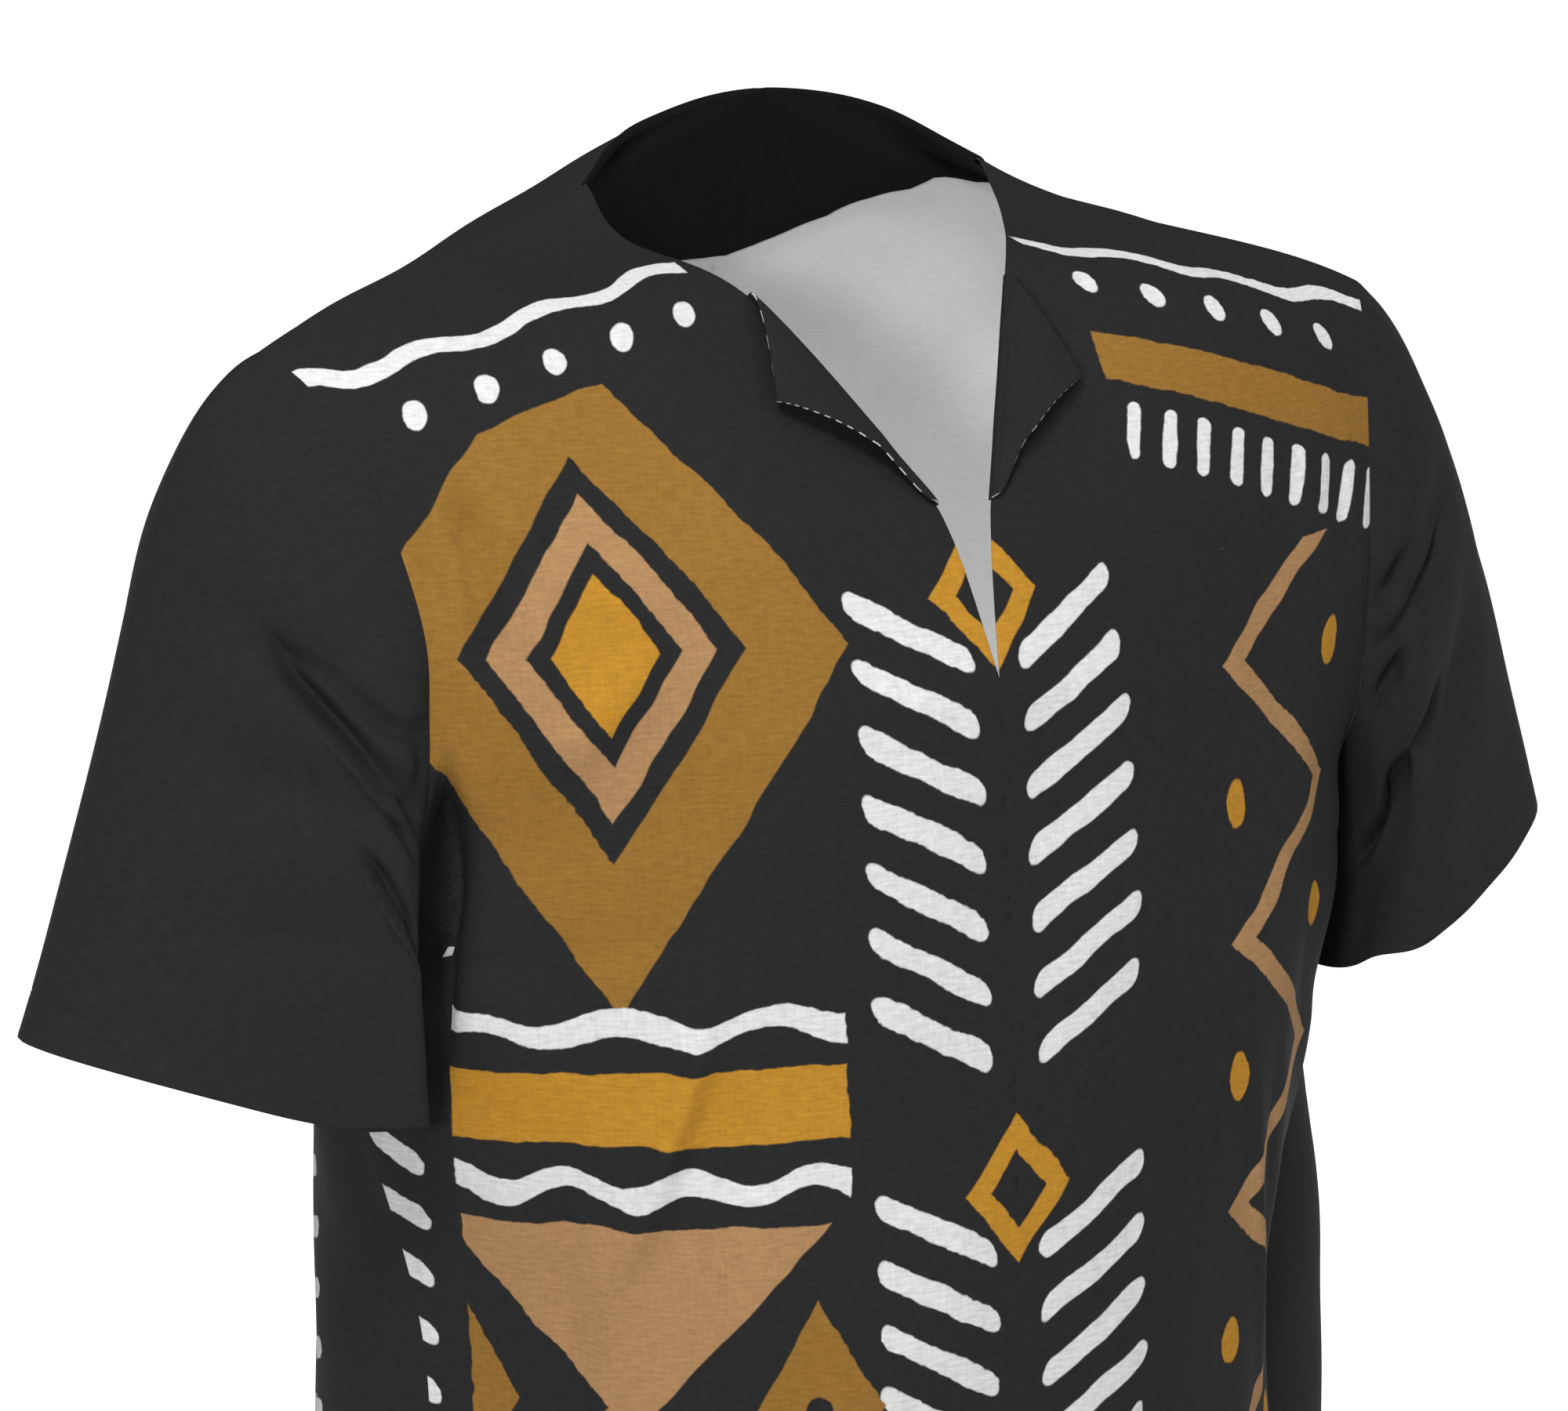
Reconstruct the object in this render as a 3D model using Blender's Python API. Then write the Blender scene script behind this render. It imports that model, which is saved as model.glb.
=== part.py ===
"""A pullover dashiki shirt, filled out as it is when worn, with nobody in it.

Metres, +Z up. The front faces -Y and the wearer's left side is +X. The origin is
the middle of the neck, at the height of the neck's two sides.
"""

import math

import bpy
import numpy as np

# ---- sizes ----------------------------------------------------------------
CLOTH = 0.0016          # wall of every solid, the cloth with its turned edges
SEAM_GAP = 0.0003       # between two pieces that are sewn together
LIE_GAP = 0.0009        # between a panel and a facing that lies on it
ROWS_SIDE = 15          # rows of faces from the hem to the underarm
ROWS_ARM = 14           # rows of faces from the underarm to the shoulder seam
COLUMNS = 13            # faces across one half of a panel
SLEEVE_STEPS = 13       # rings of faces down a sleeve
LAPEL_STEPS = (12, 6)   # faces along a turned-out slit facing, and across it
FACING_STEPS = (8, 8, 7)    # faces of half the back neck facing: below and beside the neck, across
LAPEL_LIFT = 0.0024     # how far the free edge of a turned-out facing stands off
LAPEL_ROLL = 0.0030     # how much more its soft roll stands off

RIGHT, LEFT = -1, 1     # the wearer's own sides

# Each row of a half panel: its inner end, its outer end, and the pull of the row
# at each end, as for the handles of a curve. Given for the side where X is positive.
FRONT = (
    ((0.0000, -0.1640, -0.750), (0.2160, -0.0420, -0.750), (0.140, 0, 0), (-0.040, -0.055, 0)),
    ((0.0000, -0.1655, -0.600), (0.2060, -0.0430, -0.600), (0.140, 0, 0), (-0.042, -0.052, 0)),
    ((0.0000, -0.1650, -0.460), (0.1993, -0.0435, -0.460), (0.138, 0, 0), (-0.040, -0.052, 0)),
    ((0.0000, -0.1590, -0.345), (0.2190, -0.0370, -0.362), (0.132, 0, 0), (-0.026, -0.062, 0)),
    ((0.0000, -0.1530, -0.262), (0.2340, -0.0200, -0.290), (0.125, 0, 0), (0.000, -0.074, 0.004)),
    ((0.0000, -0.1458, -0.1847), (0.2175, -0.0780, -0.232), (0.105, 0.002, -0.004), (-0.040, -0.034, 0.006)),
    ((0.0096, -0.1222, -0.1270), (0.2155, -0.0880, -0.178), (0.078, -0.008, -0.010), (-0.046, -0.030, 0.008)),
    ((0.0213, -0.1060, -0.1020), (0.2180, -0.0850, -0.142), (0.058, -0.014, -0.010), (-0.050, -0.026, 0.012)),
    ((0.0590, -0.0535, -0.0400), (0.2290, -0.0660, -0.092), (0.050, -0.012, 0.000), (-0.052, -0.012, 0.024)),
    ((0.0881, -0.0058, -0.0209), (0.2410, -0.0450, -0.067), (0.050, -0.008, 0.000), (-0.050, 0.000, 0.020)),
    ((0.0922, 0.0190, -0.0010), (0.2530, -0.0240, -0.057), (0.050, -0.008, -0.007), (-0.050, 0.008, 0.021)),
)
BACK = (
    ((0.0000, 0.1300, -0.750), (0.2160, -0.0420, -0.750), (0.140, 0, 0), (0.044, 0.112, 0)),
    ((0.0000, 0.1290, -0.600), (0.2060, -0.0430, -0.600), (0.140, 0, 0), (0.048, 0.112, 0)),
    ((0.0000, 0.1270, -0.460), (0.1993, -0.0435, -0.460), (0.140, 0, 0), (0.051, 0.112, 0)),
    ((0.0000, 0.1250, -0.345), (0.2190, -0.0370, -0.362), (0.135, 0, 0), (0.022, 0.095, 0)),
    ((0.0000, 0.1220, -0.262), (0.2340, -0.0200, -0.290), (0.125, 0, 0), (-0.002, 0.075, 0.004)),
    ((0.0000, 0.1150, -0.170), (0.2180, 0.0450, -0.235), (0.110, 0, 0), (-0.035, 0.040, 0.010)),
    ((0.0000, 0.0960, -0.085), (0.2190, 0.0580, -0.160), (0.100, 0, 0), (-0.050, 0.026, 0.020)),
    ((0.0000, 0.0650, -0.015), (0.2290, 0.0420, -0.110), (0.075, 0, -0.004), (-0.055, 0.018, 0.034)),
    ((0.0000, 0.0400, 0.0300), (0.2390, 0.0170, -0.078), (0.050, 0.012, -0.014), (-0.055, 0.014, 0.026)),
    ((0.0560, 0.0390, 0.0200), (0.2470, -0.0050, -0.064), (0.042, 0.014, -0.013), (-0.052, 0.010, 0.022)),
    ((0.0922, 0.0190, -0.0010), (0.2530, -0.0240, -0.057), (0.050, -0.008, -0.007), (-0.050, 0.008, 0.021)),
)
UNDERARM_ROW = 4
SLIT_ROW = 5            # the slit ends at the inner end of this row of the front
CORNER_ROW = 8          # the turned corner of the neck is at this row's inner end
NAPE_ROW = 8            # the middle of the back neck is at this row's inner end
LAST_ROW = len(FRONT) - 1
FRONT_ARM = (SLIT_ROW, 3)    # the row where the panel opens, and the steps up to it
BACK_ARM = (NAPE_ROW, 8)
# The back hangs fuller beside the left side seam than beside the right one.
BACK_SWELL = {RIGHT: (0.006, 0.003, 0.0), LEFT: (0.092, -0.076, 0.0)}
# Below the arm the left side seam swings forward, into a soft valley.
SEAM_SWING = {RIGHT: (0.000, 0.000, 0.0), LEFT: (-0.008, -0.0165, 0.0)}
# How many rows below the underarm that starts and is full.
SWELL_ROWS = (0.0, 2.2)
# How far each shoulder stands above the tables, or below them where negative: near the
# neck, near the arm and at the arm. From a start row, it is full SLOPE_ROWS further up.
SLOPE = {RIGHT: (-0.014, 0.005, 0.006), LEFT: (-0.024, 0.004, 0.0)}
SLOPE_START_FRONT = 8
SLOPE_START_BACK = 7
SLOPE_ROWS = 2

# The hem of a sleeve and the pull down to it, from the underarm round by the front,
# over the outer side and back, as fractions of the way round the armhole.
CUFF = (
    (0.00, (0.2340, 0.0000, -0.352), (0.002, 0.000, 0.026)),
    (0.07, (0.2320, -0.0500, -0.350), (0.002, -0.004, 0.036)),
    (0.15, (0.2210, -0.0930, -0.3390), (0.006, -0.002, 0.050)),
    (0.26, (0.2600, -0.0840, -0.335), (-0.014, -0.010, 0.080)),
    (0.36, (0.3120, -0.0640, -0.318), (-0.034, -0.006, 0.110)),
    (0.50, (0.3550, -0.0220, -0.304), (-0.040, 0.000, 0.125)),
    (0.64, (0.3240, 0.0320, -0.314), (-0.030, 0.004, 0.115)),
    (0.76, (0.2950, 0.0720, -0.325), (-0.016, 0.008, 0.085)),
    (0.88, (0.2460, 0.0540, -0.345), (0.000, 0.006, 0.040)),
    (1.00, (0.2340, 0.0000, -0.352), (0.002, 0.000, 0.026)),
)
# How far each arm stands off beyond that at the outer side: the hem, the middle and the
# top, and how far its hem is lifted there.
CUFF_OUT = {RIGHT: (0.0, -0.013, 0.003, 0.0), LEFT: (0.001, 0.002, -0.010, 0.013)}
# How far the hem's front corner beside the body is drawn in, the fraction where that
# corner is, and how far round it reaches.
CUFF_TUCK = {RIGHT: (0.0, 0.0, 0.0), LEFT: (0.013, 0.018, 0.0)}
TUCK_AT = 0.15
TUCK_REACH = 0.11
# The pull of a sleeve away from the armhole, at the same fractions.
CAP = (
    (0.00, (0.006, 0.000, -0.016)),
    (0.12, (0.010, -0.012, -0.030)),
    (0.24, (0.030, -0.014, -0.040)),
    (0.36, (0.050, -0.010, -0.030)),
    (0.50, (0.048, 0.000, -0.020)),
    (0.64, (0.050, 0.010, -0.028)),
    (0.76, (0.034, 0.020, -0.040)),
    (0.88, (0.012, 0.014, -0.030)),
    (1.00, (0.006, 0.000, -0.016)),
)

# A turned-out slit facing, at fractions up the slit: the row of the front where it
# rolls over, then the row and the fraction across of its free edge.
LAPEL = (
    (0.00, (6.45, 0.000), (6.52, 0.012)),
    (0.20, (7.04, 0.000), (6.99, 0.036)),
    (0.40, (7.26, 0.000), (7.17, 0.070)),
    (0.60, (7.50, 0.000), (7.30, 0.110)),
    (0.80, (7.74, 0.000), (7.40, 0.155)),
    (1.00, (8.00, 0.000), (7.47, 0.188)),
)
# The back neck facing: rows of the back panel, and how far across it reaches there.
NECK_FACING = (
    (6.62, 0.012), (6.66, 0.055), (6.75, 0.105), (6.95, 0.188), (7.27, 0.280),
    (7.72, 0.360), (8.30, 0.405), (9.00, 0.370), (10.00, 0.300),
)


# ---- curves and surfaces ----------------------------------------------------
def through(knots, values, t, corners=()):
    """Smooth curve through the values at the knots, read at t, bent sharply at corners."""
    t = np.asarray(t, float)
    for corner in corners:
        k = list(knots).index(corner)
        before = through(knots[: k + 1], values[: k + 1], np.minimum(t, corner), corners[1:])
        after = through(knots[k:], values[k:], np.maximum(t, corner), corners[1:])
        return np.where((t <= corner)[..., None], before, after)
    knots = np.asarray(knots, float)
    values = np.asarray(values, float)
    slopes = np.gradient(values, knots, axis=0)
    t = np.clip(np.asarray(t, float), knots[0], knots[-1])
    i = np.clip(np.searchsorted(knots, t, side="right") - 1, 0, len(knots) - 2)
    width = (knots[i + 1] - knots[i])[..., None]
    s = (t[..., None] - knots[i][..., None]) / width
    first = (2 * s**3 - 3 * s**2 + 1) * values[i] + (s**3 - 2 * s**2 + s) * width * slopes[i]
    second = (3 * s**2 - 2 * s**3) * values[i + 1] + (s**3 - s**2) * width * slopes[i + 1]
    return first + second


def bow(start, start_pull, end, end_pull, u):
    """The curve from start to end with a pull at each end, read at u from 0 to 1."""
    u = np.asarray(u, float)[..., None]
    v = 1 - u
    return (
        v**3 * start
        + 3 * v * v * u * (start + start_pull)
        + 3 * v * u * u * (end + end_pull)
        + u**3 * end
    )


def eased(x):
    """Rises smoothly from 0 to 1 as x does."""
    x = np.clip(x, 0, 1)
    return x * x * (3 - 2 * x)


def half_panel(table, row, across, side, open_row, slope_start, swell=(0, 0, 0)):
    """Points of a half panel, at rows of its table and at fractions across it."""
    knots = list(range(len(table)))
    bends = ((open_row,), (UNDERARM_ROW,), (), ())
    inner, outer, pull_in, pull_out = (
        through(knots, [line[k] for line in table], row, bends[k]) for k in range(4)
    )
    start, full = SWELL_ROWS
    low = eased((UNDERARM_ROW - start - row) / (full - start))[..., None]
    high = eased((row - slope_start) / SLOPE_ROWS)[..., None]
    near, far, tip = SLOPE[side]
    pull_in = pull_in + low * np.array((swell[0] / 2, 0, 0)) + high * np.array((0, 0, near))
    pull_out = pull_out + low * np.array(swell) + high * np.array((0, 0, far))
    outer = outer + low * np.array(SEAM_SWING[side]) + high * np.array((0, 0, tip))
    points = bow(inner, pull_in, outer, pull_out, across)
    return points * np.array([side, 1, 1])


def front_at(row, across, side):
    return half_panel(FRONT, row, across, side, SLIT_ROW, SLOPE_START_FRONT)


def back_at(row, across, side):
    return half_panel(BACK, row, across, side, NAPE_ROW, SLOPE_START_BACK, BACK_SWELL[side])


def arm_rows(open_row, steps_below):
    """Rows of a table from the underarm to the shoulder, with open_row among them."""
    below = np.linspace(UNDERARM_ROW, open_row, steps_below + 1)
    above = np.linspace(open_row, LAST_ROW, ROWS_ARM - steps_below + 1)
    return np.concatenate([below, above[1:]])


def armhole(side):
    """Points round the armhole from the underarm by the front, and their fractions."""
    ahead = front_at(arm_rows(*FRONT_ARM), np.ones(ROWS_ARM + 1), side)
    behind = back_at(arm_rows(*BACK_ARM), np.ones(ROWS_ARM + 1), side)
    points = np.vstack([ahead, behind[::-1][1:]])
    return points, np.linspace(0, 1, len(points))


def sleeve_at(side, down):
    """Rings of a sleeve at the fractions down it, each as long as the armhole's ring."""
    start, way = armhole(side)
    flip = np.array([side, 1, 1])
    end = through([c[0] for c in CUFF], [c[1] for c in CUFF], way) * flip
    end_pull = through([c[0] for c in CUFF], [c[2] for c in CUFF], way) * flip
    start_pull = through([c[0] for c in CAP], [c[1] for c in CAP], way) * flip
    hem_out, middle_out, top_out, hem_up = CUFF_OUT[side]
    outer = np.clip(1 - abs(way - 0.5) / 0.4, 0, 1)[:, None] ** 0.7
    end = end + outer**2 * np.array([side * hem_out, 0, hem_up])
    tuck = eased(1 - abs(way - TUCK_AT) / TUCK_REACH)[:, None]
    end = end + tuck * np.array(CUFF_TUCK[side]) * flip
    end_pull = end_pull + outer * np.array([side * middle_out, 0, 0])
    start_pull = start_pull + outer * np.array([side * top_out, 0, 0])
    return np.stack([bow(start, start_pull, end, end_pull, np.full(len(way), d)) for d in down])


# ---- folds --------------------------------------------------------------------
# Soft troughs (minus) and ridges (plus): ends, half width and depth. They are placed
# on the wearer's own side and only move points of the pieces that are named.
FOLDS = (
    ("sleeve", RIGHT, (-0.217, -0.090, -0.196), (-0.286, -0.062, -0.142), 0.012, -0.0050),
    ("sleeve", RIGHT, (-0.220, -0.090, -0.222), (-0.296, -0.068, -0.196), 0.014, -0.0050),
    ("sleeve", RIGHT, (-0.226, -0.082, -0.262), (-0.300, -0.074, -0.262), 0.014, -0.0035),
    ("sleeve", LEFT, (0.226, -0.090, -0.190), (0.285, -0.066, -0.130), 0.012, -0.0045),
    ("sleeve", LEFT, (0.228, -0.088, -0.282), (0.300, -0.070, -0.190), 0.016, -0.0060),
    ("sleeve", RIGHT, (-0.222, 0.062, -0.200), (-0.292, 0.060, -0.150), 0.014, -0.0045),
    ("sleeve", LEFT, (0.222, 0.062, -0.210), (0.290, 0.062, -0.160), 0.014, -0.0045),
    ("front", RIGHT, (-0.196, -0.110, -0.190), (-0.180, -0.122, -0.330), 0.014, -0.0045),
    ("front", RIGHT, (-0.150, -0.140, -0.200), (-0.135, -0.150, -0.420), 0.022, -0.0040),
    ("front", RIGHT, (-0.120, -0.155, -0.330), (-0.118, -0.160, -0.640), 0.016, 0.0050),
    ("front", LEFT, (0.198, -0.105, -0.200), (0.182, -0.120, -0.400), 0.016, -0.0050),
    ("front", LEFT, (0.192, -0.085, -0.360), (0.188, -0.085, -0.740), 0.012, 0.0050),
    ("front", LEFT, (0.110, -0.160, -0.420), (0.120, -0.160, -0.750), 0.022, -0.0050),
    ("front", RIGHT, (-0.050, -0.165, -0.480), (-0.060, -0.165, -0.750), 0.024, -0.0045),
    ("back", RIGHT, (-0.190, 0.080, -0.230), (-0.150, 0.110, -0.420), 0.018, -0.0060),
    ("back", LEFT, (0.190, 0.080, -0.230), (0.145, 0.110, -0.440), 0.018, -0.0060),
    ("back", LEFT, (0.060, 0.120, -0.330), (0.070, 0.130, -0.750), 0.026, -0.0070),
    ("back", RIGHT, (-0.075, 0.120, -0.380), (-0.085, 0.130, -0.750), 0.026, -0.0070),
    ("back", RIGHT, (-0.170, 0.090, -0.450), (-0.180, 0.090, -0.750), 0.022, 0.0050),
    ("back", LEFT, (0.175, 0.090, -0.420), (0.185, 0.090, -0.750), 0.022, 0.0050),
)


def fold_depth(kind, side, points):
    """How far each point moves along its normal for the folds of this piece."""
    moved = np.zeros(points.shape[:-1])
    for name, where, start, end, width, depth in FOLDS:
        if name != kind or where != side:
            continue
        start, end = np.array(start), np.array(end)
        line = end - start
        length = np.linalg.norm(line)
        along = ((points - start) @ line) / length**2
        nearest = start + np.clip(along, 0, 1)[..., None] * line
        away = np.linalg.norm(points - nearest, axis=-1)
        fade = np.clip(np.minimum(along, 1 - along) / 0.3, 0, 1) * 0.6 + 0.4
        moved += depth * fade * np.exp(-((away / width) ** 2))
    return moved


def grid_normals(points, outward):
    """Unit normals of a grid of points, turned to the side that outward gives."""
    down = np.gradient(points, axis=0)
    over = np.gradient(points, axis=1)
    normal = np.cross(down, over)
    length = np.linalg.norm(normal, axis=-1, keepdims=True)
    normal = normal / np.maximum(length, 1e-12)
    middle = normal[normal.shape[0] // 2, normal.shape[1] // 2]
    return normal if middle @ np.asarray(outward, float) > 0 else -normal


def mitre(*normals):
    """The offsets of pieces at their seam, one for each piece.

    Walls that run on past the seam share one offset, so they meet face to face. Where
    they turn back beside each other, as under the arm, each keeps its own normal.
    """
    total = sum(normals)
    total = total / np.maximum(np.linalg.norm(total, axis=-1, keepdims=True), 1e-9)
    lean = np.min([(total * n).sum(-1) for n in normals], axis=0)
    shared = total / np.clip(lean, 0.6, 1)[..., None]
    part = np.clip((lean - 0.62) / 0.15, 0, 1)[..., None]
    return [n + (shared - n) * part for n in normals]


def on_panel(panel, row, across):
    """Points and unit normals read between the grid points of a finished half panel."""
    i = np.interp(row, panel["rows"], np.arange(len(panel["rows"])))
    low = np.clip(i.astype(int), 0, len(panel["rows"]) - 2)
    part = (i - low)[..., None]
    columns = panel["across"][low] * (1 - part) + panel["across"][low + 1] * part
    j = np.empty(row.shape)
    for place in np.ndindex(row.shape):
        j[place] = np.interp(across[place], columns[place], np.arange(COLUMNS + 1))
    left = np.clip(j.astype(int), 0, COLUMNS - 1)
    over = (j - left)[..., None]
    found = []
    for grid in (panel["points"], panel["normals"]):
        near = grid[low, left] * (1 - over) + grid[low, left + 1] * over
        far = grid[low + 1, left] * (1 - over) + grid[low + 1, left + 1] * over
        found.append(near * (1 - part) + far * part)
    points, normals = found
    return points, normals / np.linalg.norm(normals, axis=-1, keepdims=True)


# ---- meshes -------------------------------------------------------------------
def edge_back(grid, axis, index, inner, distance):
    """Moves one edge line of a grid of points towards the line beside it."""
    edge = np.take(grid, index, axis=axis)
    beside = np.take(grid, inner, axis=axis)
    step = beside - edge
    step = step / np.linalg.norm(step, axis=-1, keepdims=True) * distance
    if axis == 0:
        grid[index] = edge + step
    else:
        grid[:, index] = edge + step


class Shell:
    """Collects grids of cloth into one closed mesh of even thickness."""

    def __init__(self):
        self.outer = []
        self.inner = []
        self.faces = []
        self.places = {}

    def vertex(self, out, into):
        """Number of the vertex pair at this place, shared where grids join."""
        key = tuple(np.round(out, 7))
        if key not in self.places:
            self.places[key] = len(self.outer)
            self.outer.append(tuple(out))
            self.inner.append(tuple(into))
        return self.places[key]

    def add(self, out, into, turn):
        """Adds a grid; turn says whether its faces must be turned round."""
        ids = [[self.vertex(o, i) for o, i in zip(a, b)] for a, b in zip(out, into)]
        for r in range(len(ids) - 1):
            for c in range(len(ids[0]) - 1):
                face = [ids[r][c], ids[r][c + 1], ids[r + 1][c + 1], ids[r + 1][c]]
                self.faces.append(face[::-1] if turn else face)

    def mesh(self, name, collection, material):
        """The closed solid: outer faces, inner faces and the rim between them."""
        count = len(self.outer)
        faces = [list(f) for f in self.faces]
        faces += [[v + count for v in reversed(f)] for f in self.faces]
        used = {}
        for f in self.faces:
            for a, b in zip(f, f[1:] + f[:1]):
                used[(a, b)] = used.get((a, b), 0) + 1
        for a, b in list(used):
            if (b, a) not in used:
                faces.append([b, a, a + count, b + count])
        data = bpy.data.meshes.new(name)
        data.from_pydata(self.outer + self.inner, [], faces)
        data.materials.append(material)
        data.polygons.foreach_set("use_smooth", [True] * len(data.polygons))
        obj = bpy.data.objects.new(name, data)
        collection.objects.link(obj)
        return obj


def cloth_material(name, colour, roughness):
    material = bpy.data.materials.new(name)
    material.use_nodes = True
    shader = material.node_tree.nodes["Principled BSDF"]
    shader.inputs["Base Color"].default_value = (*colour, 1)
    shader.inputs["Roughness"].default_value = roughness
    material.diffuse_color = (*colour, 1)
    return material


# ---- the garment ---------------------------------------------------------------
def panel_rows(arm):
    """Rows of a panel: even steps up the side, then up the armhole; and where it opens."""
    side = np.linspace(0, UNDERARM_ROW, ROWS_SIDE + 1)
    return np.concatenate([side, arm_rows(*arm)[1:]]), ROWS_SIDE + arm[1]


def evened(rows, surface, side):
    """Fractions across a panel that space its points evenly on each row."""
    fine = np.linspace(0, 1, 61)
    across = np.empty((len(rows), COLUMNS + 1))
    for k, row in enumerate(rows):
        line = surface(np.full(61, row), fine, side)
        length = np.concatenate([[0], np.cumsum(np.linalg.norm(np.diff(line, axis=0), axis=1))])
        across[k] = np.interp(np.linspace(0, length[-1], COLUMNS + 1), length, fine)
    return across


def half_grids(kind, surface, side, arm, outward):
    """Points and normals of a half panel, folds included."""
    rows, nearest = panel_rows(arm)
    across = evened(rows, surface, side)
    line = np.repeat(rows[:, None], COLUMNS + 1, axis=1)
    points = surface(line, across, side)
    normals = grid_normals(points, outward)
    depth = fold_depth(kind, side, points)
    depth[:, -1] *= 0.0
    depth[:, -2] *= 0.6
    depth[-1] *= 0.0
    normals[: nearest + 1, 0, 0] = 0
    normals[: nearest + 1, 0] /= np.linalg.norm(normals[: nearest + 1, 0], axis=-1, keepdims=True)
    points = points + normals * depth[..., None]
    return {"rows": rows, "across": across, "points": points, "normals": normals, "open": nearest}


def lapel(panel):
    """Outer and inner points of a turned-out slit facing, from the slit up to its corner."""
    along = np.linspace(0, 1, LAPEL_STEPS[0] + 1)
    over = np.linspace(0, 1, LAPEL_STEPS[1] + 1)[None, :, None]
    fold = through([k[0] for k in LAPEL], [k[1] for k in LAPEL], along)[:, None]
    free = through([k[0] for k in LAPEL], [k[2] for k in LAPEL], along)[:, None]
    place = fold + (free - fold) * over
    points, normal = on_panel(panel, place[..., 0], place[..., 1])
    over = over[..., 0]
    full = np.clip(along * 3, 0.25, 1)[:, None]
    lift = LIE_GAP + full * (LAPEL_LIFT * over + LAPEL_ROLL * np.sin(math.pi * over**0.6))
    under = points + normal * lift[..., None]
    return under + normal * CLOTH, under


def neck_facing(panel, ahead):
    """Outer and inner points of one half of the back neck facing, from its foot up."""
    low, high, wide = FACING_STEPS
    rows = np.concatenate([
        NAPE_ROW - (NAPE_ROW - NECK_FACING[0][0]) * (1 - np.linspace(0, 1, low + 1) ** 1.6),
        np.linspace(NAPE_ROW, LAST_ROW, high + 1)[1:],
    ])
    reach = np.interp(rows, [k[0] for k in NECK_FACING], [k[1] for k in NECK_FACING])
    across = reach[:, None] * np.linspace(0, 1, wide + 1)[None]
    row = np.repeat(rows[:, None], wide + 1, axis=1)
    points, normal = on_panel(panel, row, across)
    normal[-1] = mitre(normal[-1], on_panel(ahead, row[-1], across[-1])[1])[0]
    normal[: low + 1, 0, 0] = 0
    out = points - normal * (CLOTH + LIE_GAP)
    into = points - normal * (2 * CLOTH + LIE_GAP)
    for layer in (out, into):
        edge_back(layer, 0, -1, -2, SEAM_GAP / 2)
        layer[: low + 1, 0, 0] = 0
    return out, into


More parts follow.
